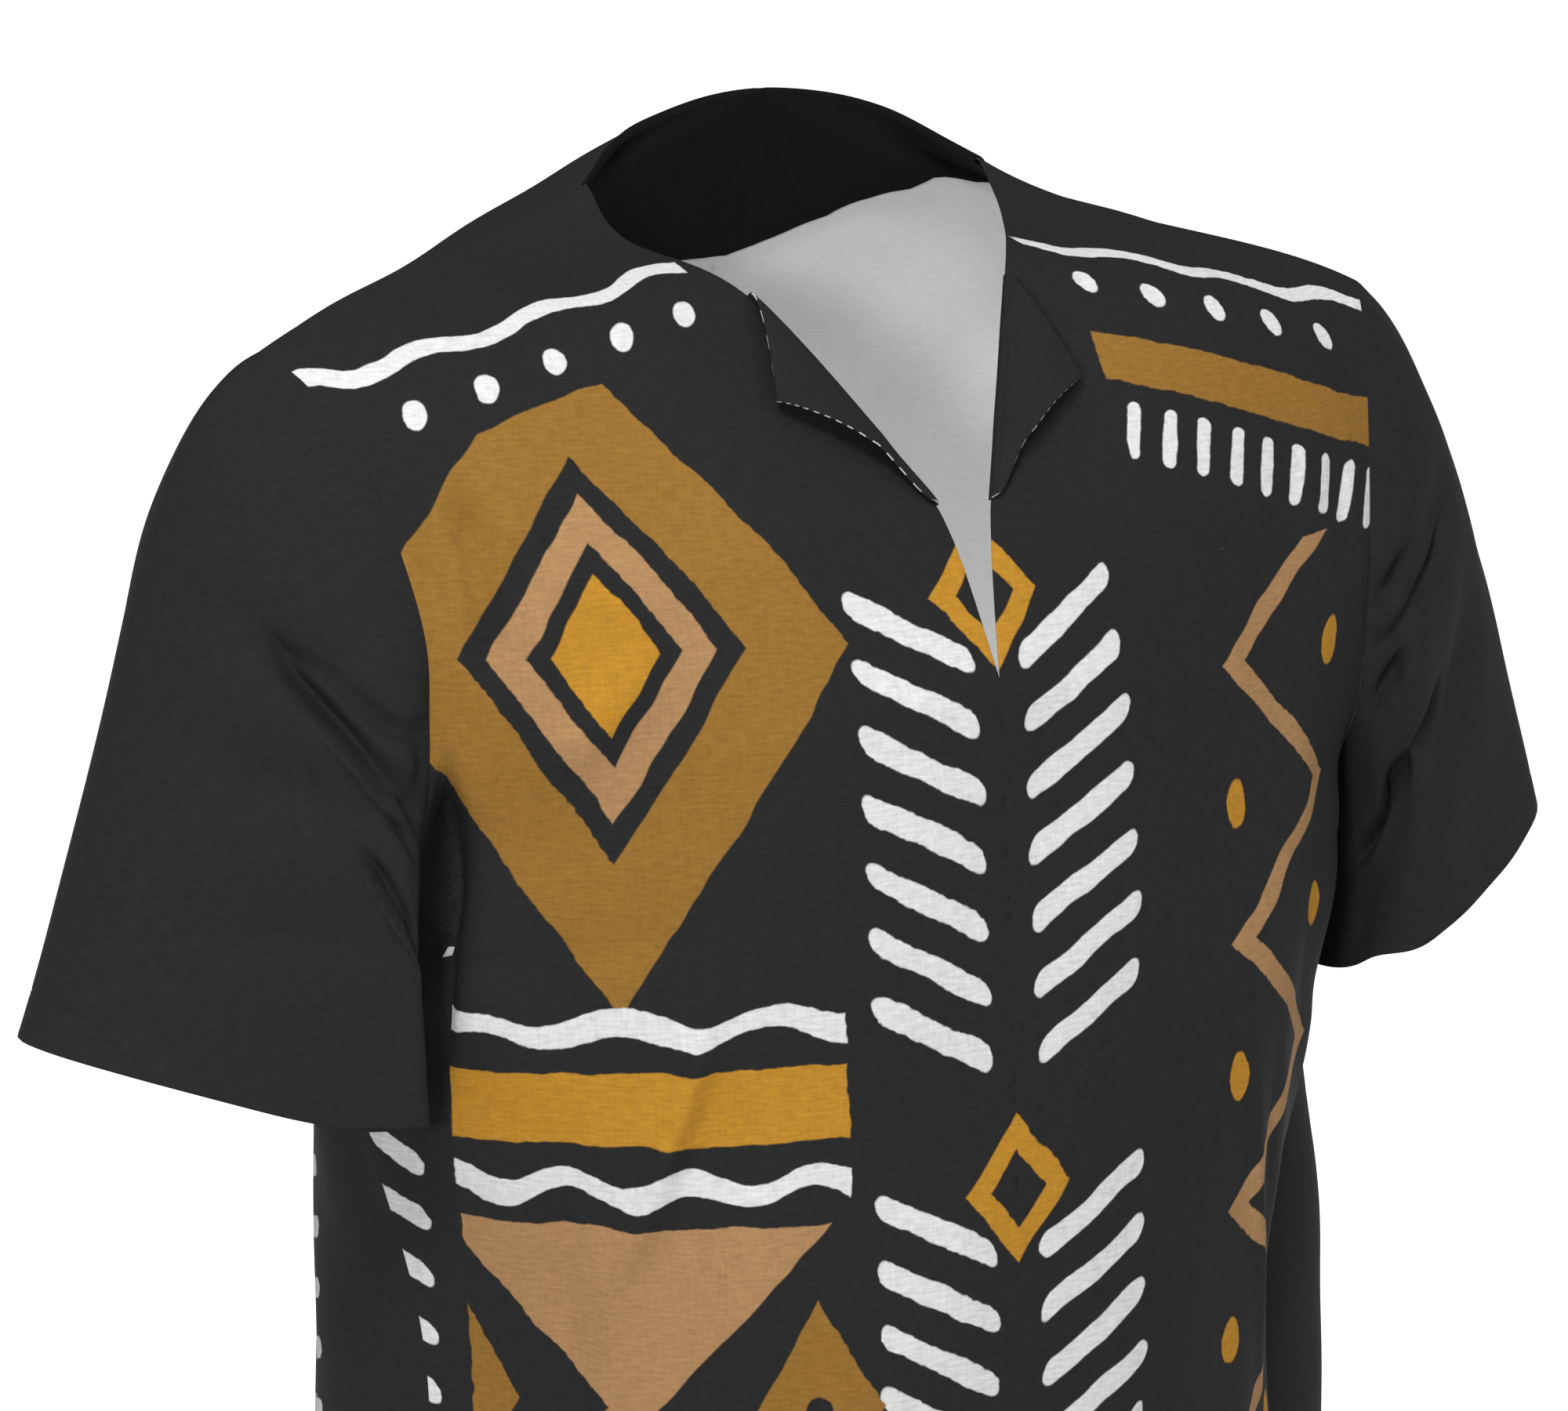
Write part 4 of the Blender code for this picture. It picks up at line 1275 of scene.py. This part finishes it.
class Field:
    """A number or a colour that varies over a surface; expressions on it add Math nodes."""

    def __init__(self, graph: "Graph", socket: bpy.types.NodeSocket) -> None:
        """Wraps a socket of a material's nodes."""
        self.graph = graph
        self.socket = socket

    def math(self, operation: str, *others: Value, **settings: bool) -> "Field":
        """Adds a Math node on this and up to two more values."""
        settings["operation"] = operation
        return self.graph.node("ShaderNodeMath", settings, dict(enumerate((self, *others))))

    def __add__(self, other: Value) -> "Field":
        """Sum."""
        return self.math("ADD", other)

    __radd__ = __add__

    def __sub__(self, other: Value) -> "Field":
        """Difference."""
        return self.math("SUBTRACT", other)

    def __rsub__(self, other: float) -> "Field":
        """Difference from a number."""
        return self.graph.node("ShaderNodeMath", {"operation": "SUBTRACT"}, {0: other, 1: self})

    def __mul__(self, other: Value) -> "Field":
        """Product."""
        return self.math("MULTIPLY", other)

    __rmul__ = __mul__

    def __truediv__(self, other: Value) -> "Field":
        """Quotient."""
        return self.math("DIVIDE", other)

    def __abs__(self) -> "Field":
        """Size without sign."""
        return self.math("ABSOLUTE")

    def most(self, other: Value) -> "Field":
        """The larger of two; for shapes, the part that both have."""
        return self.math("MAXIMUM", other)

    def sine(self) -> "Field":
        """Sine."""
        return self.math("SINE")

    def zigzag(self, reach: float) -> "Field":
        """Rises and falls between 0 and a reach."""
        return self.math("PINGPONG", reach)

    def wrapped(self, period: float) -> "Field":
        """Signed distance to the nearest multiple of a period."""
        return self.math("WRAP", period / 2, -period / 2)

    def inked(self, soft: float = 0.0007) -> "Field":
        """1 inside a shape whose distance this is, 0 outside, with a soft edge."""
        return self.math("MULTIPLY_ADD", -1.0 / soft, 0.5, use_clamp=True)


class Graph:
    """The nodes of one material."""

    def __init__(self, name: str, roughness: float, specular: float = 0.06) -> None:
        """Starts a material with a Principled shader and its uniform values.

        Args:
            name: the finish's name.
            roughness: of the surface.
            specular: level of its gloss.
        """
        self.material = bpy.data.materials.new(name)
        self.material.use_nodes = True
        self.tree = self.material.node_tree
        self.shader = self.tree.nodes["Principled BSDF"]
        self.shader.inputs["Roughness"].default_value = roughness
        self.shader.inputs["Specular IOR Level"].default_value = specular

    def node(self, kind: str, settings: dict, inputs: dict, out: Union[int, str] = 0) -> Field:
        """Adds a node.

        Args:
            kind: the node's type.
            settings: its attributes.
            inputs: values or links of its sockets, by name or number.
            out: the output that is wanted.

        Returns:
            The output as a field.
        """
        made = self.tree.nodes.new(kind)
        for name, value in settings.items():
            setattr(made, name, value)
        for name, value in inputs.items():
            if isinstance(value, Field):
                self.tree.links.new(value.socket, made.inputs[name])
            elif isinstance(value, tuple):
                made.inputs[name].default_value = (*value, 1)
            else:
                made.inputs[name].default_value = value
        return Field(self, made.outputs[out])

    def feed(self, socket: str, value: Field) -> None:
        """Links a field to a socket of the shader."""
        self.tree.links.new(value.socket, self.shader.inputs[socket])

    def mixed(
        self, under: Union[Field, Colour], over: Union[Field, Colour], share: Value, blend: str = "MIX"
    ) -> Field:
        """Lays one colour over another."""
        settings = {"data_type": "RGBA", "blend_type": blend}
        return self.node("ShaderNodeMix", settings, {"Factor": share, 6: under, 7: over}, 2)

    def toned(self, colour: Union[Field, Colour], tone: Field) -> Field:
        """Multiplies a colour by a number."""
        grey = self.node("ShaderNodeCombineColor", {}, {0: tone, 1: tone, 2: tone})
        return self.mixed(colour, grey, 1.0, "MULTIPLY")

    def chart(self) -> tuple[Field, Field]:
        """Reads places on the flat cut, in metres.

        Returns:
            The places across the cloth and along it.
        """
        place = self.node("ShaderNodeUVMap", {"uv_map": "flat_cut"}, {})
        across = self.node("ShaderNodeSeparateXYZ", {}, {0: place})
        return across, Field(self, across.socket.node.outputs[1])

    def noise(self, u: Value, v: Value, detail: float = 2.0, w: Value = 0.0) -> Field:
        """Smooth noise about 0.5, read at a place that is already scaled."""
        spot = self.node("ShaderNodeCombineXYZ", {}, {0: u, 1: v, 2: w})
        return self.node("ShaderNodeTexNoise", {}, {"Vector": spot, "Scale": 1.0, "Detail": detail})

    def bump(self, height: Field, distance: float) -> None:
        """Feeds a height to the shader's normal."""
        self.feed("Normal", self.node("ShaderNodeBump", {}, {"Height": height, "Distance": distance}))


@dataclass(frozen=True)
class LinenWeave:
    """An uneven plain weave: fine threads, with thicker slubs along and across."""

    thread: float = 1700.0
    slub_length: float = 150.0
    slub_width: float = 760.0
    patch: float = 9.0
    tone: float = 0.23
    height: float = 0.00018

    def woven(self, graph: Graph, u: Field, v: Field) -> tuple[Field, Field]:
        """Reads the weave.

        Args:
            graph: the material's nodes.
            u: place across the cloth.
            v: place along it.

        Returns:
            The brightness about 1 and the height about 0.5.
        """
        weft = graph.noise(u * self.slub_length, v * self.slub_width, 3.0)
        warp = graph.noise(u * self.slub_width, v * self.slub_length, 3.0, 4.7)
        grain = graph.noise(u * self.thread, v * self.thread, 2.0, 9.1)
        broad = graph.noise(u * self.patch, v * self.patch, 2.0, 2.3)
        threads = weft * 0.52 + warp * 0.26 + grain * 0.22
        tone = (threads - 0.5) * (self.tone * 5) + (broad - 0.5) * 0.12 + 1.0
        return tone, threads


# ---- the print
@dataclass(frozen=True)
class Inks:
    """The print's colours."""

    ground: Colour = (0.0235, 0.0235, 0.0240)
    bronze: Colour = (0.328, 0.168, 0.034)
    amber: Colour = (0.560, 0.272, 0.030)
    tan: Colour = (0.465, 0.262, 0.118)
    white: Colour = (0.820, 0.820, 0.815)


class PrintBlock:
    """Lays shapes of ink on the ground; a shape is its distance field, below 0 inside."""

    def __init__(self, graph: Graph, u: Field, v: Field, inks: Inks = Inks()) -> None:
        """Starts the block with hand-cut, slightly wandering edges.

        Args:
            graph: the material's nodes.
            u: place across the cloth.
            v: place along it.
            inks: the colours.
        """
        self.graph = graph
        self.inks = inks
        coarse = graph.noise(u * 45.0, v * 45.0, 1.0)
        other = graph.noise(u * 45.0, v * 45.0, 1.0, 6.5)
        small = graph.noise(u * 260.0, v * 260.0, 1.0)
        self.u = u + (coarse - 0.5) * 0.0045 + (small - 0.5) * 0.0012
        self.v = v + (other - 0.5) * 0.0045 + (small - 0.5) * 0.0012
        self.colour: Union[Field, Colour] = inks.ground

    def paint(self, ink: Colour, shape: Field) -> None:
        """Lays one ink where the shape is."""
        self.colour = self.graph.mixed(self.colour, ink, shape.inked())

    @staticmethod
    def length(a: Field, b: Field) -> Field:
        """Length of the vector with these two parts."""
        return (a * a + b * b).math("SQRT")

    @staticmethod
    def bar(level: Field, along: Field, half: float, thick: float) -> Field:
        """A bar with round ends, from its offsets across and along it."""
        return PrintBlock.length(level, (abs(along) - half).most(0.0)) - thick

    @staticmethod
    def lozenge(a: Field, b: Field, wide: float, high: float) -> Field:
        """An upright lozenge, from the sizes of its offsets from the centre."""
        return (a * (1 / wide) + b * (1 / high) - 1.0) * (wide * high / math.hypot(wide, high))

    @staticmethod
    def oval(a: Field, b: Field, wide: float, high: float) -> Field:
        """An oval dot, from its offsets from the centre."""
        return (PrintBlock.length(a * (1 / wide), b * (1 / high)) - 1.0) * min(wide, high)

    @staticmethod
    def ring(shape: Field, start: float, end: float) -> Field:
        """The part of a shape between two depths inside its edge."""
        return abs(shape + (start + end) / 2) - (end - start) / 2

    def wavy(self, height: float, thick: float, swing: float, length: float) -> Field:
        """A wavy line of changing thickness across the cloth.

        Args:
            height: how high it is above the hem.
            thick: its half thickness.
            swing: the height of its waves.
            length: the length of one wave.

        Returns:
            The line's shape.
        """
        wave = (self.u * (2 * math.pi / length)).sine() * swing
        pulse = (self.u * (2 * math.pi / length * 0.63)).sine() * (thick * 0.22)
        return abs(self.v - height - wave) - pulse - thick


def front_print(block: PrintBlock) -> None:
    """The front: a herringbone spine, nested lozenges and bands, and a zigzag with dots.

    Args:
        block: takes the shapes, in metres on the flat cut.
    """
    u, v, inks, paint = block.u, block.v, block.inks, block.paint
    away = abs(u)
    down_right = abs(u + 0.190) - 0.118
    # The spine of rising bars, in groups parted by lozenges.
    group, lean = 0.234, 0.55
    bars = (abs((v - away * lean - 0.487).wrapped(group)) - 0.091).most(v - 0.632)
    level = (v - away * lean).wrapped(0.026) / math.hypot(1, lean)
    paint(inks.white, block.bar(level, away - 0.036, 0.021, 0.0047).most(bars))
    knot = block.lozenge(away, abs((v - 0.604 + group).wrapped(group)), 0.024, 0.030)
    paint(inks.amber, knot)
    paint(inks.ground, knot + 0.0085)
    # The nested lozenges of the right chest, again near the hem.
    side, lift = abs(u + 0.160), abs((v - 0.590).wrapped(0.430))
    nest = block.lozenge(side, lift, 0.098, 0.138)
    paint(inks.bronze, block.ring(nest, 0.000, 0.034))
    paint(inks.tan, block.ring(nest, 0.043, 0.055))
    paint(inks.amber, nest + 0.062)
    # Bands below them.
    paint(inks.amber, (abs(v - 0.414) - 0.0145).most(down_right))
    paint(inks.white, block.wavy(0.446, 0.0048, 0.0036, 0.058).most(down_right))
    paint(inks.white, block.wavy(0.382, 0.0048, 0.0036, 0.049).most(down_right))
    # An hourglass of two tan triangles, with a bronze lozenge in its waist on each side.
    waist = v - 0.290
    paint(inks.tan, ((side - abs(waist) * 0.92 - 0.009) * 0.73).most(abs(waist) - 0.076))
    beside = abs(side - 0.074)
    paint(inks.bronze, block.lozenge(beside, abs(waist), 0.026, 0.046))
    paint(inks.ground, block.oval(beside, waist, 0.0062, 0.0062))
    paint(inks.white, block.wavy(0.030, 0.0045, 0.0034, 0.052).most(down_right))
    # The tan zigzag of the left side and amber dots in its bays.
    below_yoke = v - 0.606
    swing = v.zigzag(0.056) - 0.028
    paint(inks.tan, ((abs(u - 0.160 - swing * 1.25) - 0.0078) * 0.62).most(below_yoke))
    for place, bay in ((0.196, v), (0.122, v - 0.056)):
        paint(inks.amber, block.oval(u - place, bay.wrapped(0.112), 0.0064, 0.0096).most(below_yoke))
    # The yoke: a wavy white line and dots that follow the shoulders, on plain ground.
    slope = v + away * 0.36
    outside_neck = 0.078 - away
    paint(inks.ground, 0.749 - slope)
    wave = abs(slope - 0.792 - (u * 115.0).sine() * 0.0032) - 0.0046
    paint(inks.white, wave.most(outside_neck))
    dots = block.oval(u.wrapped(0.031), slope - 0.765, 0.0052, 0.0064).most(away - 0.232)
    paint(inks.white, dots.most(outside_neck))
    left = 0.085 - u
    paint(inks.bronze, (abs(slope - 0.728) - 0.0115).most(left))
    ticks = block.bar((u - slope * 0.35).wrapped(0.017), slope - 0.694, 0.0105, 0.0033)
    paint(inks.white, ticks.most(left))
    # The margins beside the side seams, plain but for short bars below the arms.
    paint(inks.ground, (u + 0.2285).most(v - 0.546))
    level = (v - away * 0.45).wrapped(0.025)
    paint(inks.white, block.bar(level, away - 0.256, 0.0085, 0.0050).most(v - 0.430))


def back_print(block: PrintBlock) -> None:
    """The back: a column of lozenges between wavy lines, dots, zigzags and side rungs.

    Args:
        block: takes the shapes, in metres on the flat cut.
    """
    u, v, inks, paint = block.u, block.v, block.inks, block.paint
    away = abs(u)
    below_yoke = v - 0.655
    pitch = 0.225
    nest = block.lozenge(away, abs((v - 0.120).wrapped(pitch)), 0.078, 0.104)
    paint(inks.bronze, block.ring(nest, 0.000, 0.022).most(below_yoke))
    paint(inks.tan, block.ring(nest, 0.031, 0.043).most(below_yoke))
    paint(inks.amber, (nest + 0.050).most(below_yoke))
    gap = block.lozenge(abs(away - 0.078), abs((v - 0.2325).wrapped(pitch)), 0.020, 0.028)
    paint(inks.white, gap.most(v - 0.600))
    wave = (v * (2 * math.pi / 0.060)).sine() * 0.0036
    paint(inks.white, (abs(away - 0.118 - wave) - 0.0046).most(below_yoke))
    dots = block.oval(away - 0.142, (v - 0.035).wrapped(0.070), 0.0064, 0.0096)
    paint(inks.amber, dots.most(below_yoke))
    swing = v.zigzag(0.045) - 0.0225
    paint(inks.tan, ((abs(away - 0.184 - swing * 1.1) - 0.0078) * 0.67).most(below_yoke))
    level = (v - away * 0.30).wrapped(0.026)
    paint(inks.white, block.bar(level, away - 0.237, 0.014, 0.0047).most(v - 0.47))
    slope = v + away * 0.30
    paint(inks.white, abs(slope - 0.735 - (u * 120.0).sine() * 0.0034) - 0.0048)
    paint(inks.white, block.oval(u.wrapped(0.033), slope - 0.762, 0.0054, 0.0066))
    paint(inks.bronze, abs(slope - 0.796) - 0.0115)


# ---- finishes
@dataclass(frozen=True)
class PlainCloth:
    """Cloth of one colour, such as the charcoal sleeves or the unprinted reverse."""

    name: str
    colour: Colour = Inks.ground
    roughness: float = 0.82
    weave: LinenWeave = LinenWeave()

    def coloured(self, graph: Graph, u: Field, v: Field) -> Union[Field, Colour]:
        """The colour before the weave's tone."""
        return self.colour

    def build(self) -> Material:
        """Makes the material.

        Returns:
            The material.
        """
        graph = Graph(self.name, self.roughness)
        u, v = graph.chart()
        colour = self.coloured(graph, u, v)
        tone, height = self.weave.woven(graph, u, v)
        graph.feed("Base Color", graph.toned(colour, tone))
        graph.feed("Roughness", self.roughness + 0.08 - height * 0.16)
        graph.bump(height, self.weave.height)
        return graph.material


@dataclass(frozen=True)
class PrintedCloth(PlainCloth):
    """The printed side of the body's cloth."""

    layout: Callable[[PrintBlock], None] = front_print

    def coloured(self, graph: Graph, u: Field, v: Field) -> Union[Field, Colour]:
        """Lays the print on the ground.

        Args:
            graph: the material's nodes.
            u: place across the cloth.
            v: place along it.

        Returns:
            The print's colour.
        """
        block = PrintBlock(graph, u, v)
        self.layout(block)
        return block.colour


@dataclass(frozen=True)
class RawEdge:
    """A cut edge whose white core shows in dashes between charcoal threads."""

    name: str = "raw_edge"
    core: Colour = (0.78, 0.78, 0.77)
    thread: Colour = (0.030, 0.030, 0.031)
    dash: float = 0.0125
    sharpness: float = 2500.0

    def build(self) -> Material:
        """Makes the material.

        Returns:
            The material.
        """
        graph = Graph(self.name, 0.9, specular=0.1)
        u, v = graph.chart()
        way = u + v
        broken = graph.noise(way * 420.0, way * 3.0, 2.0)
        inside = 0.25 * self.dash - abs(way.wrapped(self.dash))
        mask = inside.math("MULTIPLY_ADD", self.sharpness, broken, use_clamp=True)
        graph.feed("Base Color", graph.mixed(self.thread, self.core, mask))
        return graph.material


@dataclass(frozen=True)
class Thread:
    """Twisted sewing thread."""

    name: str = "charcoal_thread"
    colour: Colour = (0.026, 0.026, 0.0265)

    def build(self) -> Material:
        """Makes the material.

        Returns:
            The material.
        """
        graph = Graph(self.name, 0.7, specular=0.12)
        place = graph.node("ShaderNodeTexCoord", {}, {}, "Object")
        twist = graph.node("ShaderNodeTexNoise", {}, {"Vector": place, "Scale": 2600.0, "Detail": 1.0})
        graph.feed("Base Color", graph.toned(self.colour, twist * 0.5 + 0.75))
        graph.bump(twist, 0.00008)
        return graph.material


# ---- studio
@dataclass
class Studio:
    """A pale floor, soft light and the camera."""

    eye: Point = (-1.009, -1.726, 0.2175)
    towards: Point = (0.4885, 0.8461, -0.2130)
    lens: float = 114.73
    sensor: float = 36.0
    far: float = 100.0
    floor_height: float = -0.95
    floor_size: float = 60.0
    floor_tone: float = 0.92
    air: float = 0.30
    chest: Point = (0.0, 0.0, -0.25)
    # Each lamp's place, target, size and power.
    lamps: tuple[tuple[str, Point, Point, float, float], ...] = (
        ("key_light", (-1.7, -2.0, 2.6), chest, 0.9, 56.0),
        ("front_light", (-2.00, -2.10, 0.40), chest, 0.45, 28.0),
        ("side_light", (1.9, -2.3, 0.7), chest, 1.2, 13.0),
        ("top_light", (0.2, 0.1, 2.6), chest, 1.6, 9.0),
        ("inside_light", (0.03, -0.045, -0.46), (0.02, 0.09, -0.12), 0.12, 0.25),
    )

    def build(self) -> None:
        """Makes the floor, the lamps, the world and the camera."""
        scene = bpy.context.scene
        scene.view_settings.view_transform = "Standard"
        self.lay_floor()
        for name, place, target, size, power in self.lamps:
            light = bpy.data.lights.new(name, "AREA")
            light.shape, light.size, light.energy = "DISK", size, power
            lamp = self.aimed(name, light, place, np.array(target) - np.array(place))
            lamp.visible_camera = False
        scene.world = bpy.data.worlds.new("studio_air")
        scene.world.use_nodes = True
        air = scene.world.node_tree.nodes["Background"]
        air.inputs["Color"].default_value = (1, 1, 1, 1)
        air.inputs["Strength"].default_value = self.air
        data = bpy.data.cameras.new("view_camera")
        data.lens, data.sensor_width, data.clip_end = self.lens, self.sensor, self.far
        scene.camera = self.aimed("view_camera", data, self.eye, np.array(self.towards))

    def lay_floor(self) -> None:
        """Makes the floor, which glows evenly and casts no light on the shirt."""
        bpy.ops.mesh.primitive_plane_add(size=self.floor_size, location=(0, 0, self.floor_height))
        floor = bpy.context.object
        floor.name = "studio_floor"
        pale = bpy.data.materials.new("pale_floor")
        pale.use_nodes = True
        inputs = pale.node_tree.nodes["Principled BSDF"].inputs
        inputs["Base Color"].default_value = (*[self.floor_tone] * 3, 1)
        inputs["Roughness"].default_value = 0.9
        inputs["Emission Color"].default_value = (1, 1, 1, 1)
        inputs["Emission Strength"].default_value = 1.0
        floor.data.materials.append(pale)
        floor.visible_diffuse = False

    @staticmethod
    def aimed(name: str, data: bpy.types.ID, place: Point, direction: Array) -> bpy.types.Object:
        """Makes a lamp's or a camera's object, which looks along a direction.

        Args:
            name: the object's name.
            data: the lamp or the camera.
            place: where it stands.
            direction: where it looks.

        Returns:
            The object.
        """
        x, y, z = unit(direction)
        made = bpy.data.objects.new(name, data)
        made.location = place
        made.rotation_euler = (math.acos(-z), 0.0, math.atan2(-x, y))
        bpy.context.scene.collection.objects.link(made)
        return made


def main() -> None:
    """Builds the shirt piece by piece, then the studio."""
    logging.basicConfig(level=logging.INFO, format="%(name)s: %(message)s")
    charcoal = PlainCloth("charcoal_cloth_face").build()
    grey = PlainCloth("unprinted_reverse", (0.75, 0.75, 0.75), 0.9, LinenWeave(tone=0.07)).build()
    # The neck lining's colour holds painted shade: the charcoal cloth, darkened about threefold to stand
    # in for the shade inside the back of the neck.
    lining = PlainCloth("neck_lining_painted_shade", (0.0075, 0.0075, 0.0078)).build()
    raw = RawEdge().build()
    thread = Thread().build()
    front = Panel(
        "dashiki_front", "front_panel", outward=-1.0, table=FRONT_ROWS, open_row=5,
        arm_steps=84, steps_below=20, solid_below=3, folds=FRONT_FOLDS, creases=FRONT_CREASES,
        seed=11, flat=(0.60, 0.85), area=0.41, slope_row=8.0,
    )
    back = Panel(
        "dashiki_back", "back_panel", outward=1.0, table=BACK_ROWS, open_row=8,
        arm_steps=84, steps_below=56, solid_below=8, folds=BACK_FOLDS, creases=BACK_CREASES,
        seed=12, flat=(0.73, 0.87), area=0.51, nape_level=0.010,
        swell=((0.006, 0.003, 0.0), (0.092, -0.076, 0.0)),
    )
    front.build([PrintedCloth("front_print", layout=front_print).build(), grey, charcoal])
    back.build([PrintedCloth("back_print", layout=back_print).build(), grey, charcoal])
    sleeves = (
        Sleeve(
            Side.RIGHT, "right_sleeve", "sleeve_right", front, back, RIGHT_SLEEVE_CREASES, seed=13,
            hem_out=0.0, middle_out=-0.013, top_out=0.003, hem_up=0.0,
        ),
        Sleeve(
            Side.LEFT, "left_sleeve", "sleeve_left", front, back, LEFT_SLEEVE_CREASES, seed=14,
            hem_out=0.001, middle_out=0.002, top_out=-0.010, hem_up=0.013, tuck=(0.013, 0.018, 0.0),
        ),
    )
    for sleeve in sleeves:
        sleeve.build([charcoal, grey, charcoal])
    BackNeckFacing(back).build([lining, lining, lining])
    for side, word in ((Side.RIGHT, "right"), (Side.LEFT, "left")):
        facing = SlitFacing(side, front, f"{word}_slit_lapel", f"slit_facing_{word}")
        facing.build([charcoal, charcoal, raw])
    for panel in (front, back):
        lines = [line_at(net, panel.hem) for net in panel.nets.values()]
        StitchRow(f"{panel.name}_hem_stitches", Cloth.PRINTED).build(lines, thread)
    for sleeve in sleeves:
        lines = [line_at(sleeve.made, sleeve.hem)]
        StitchRow(f"{sleeve.name}_hem_stitches", Cloth.CHARCOAL).build(lines, thread)
    Studio().build()


if __name__ == "__main__":
    main()
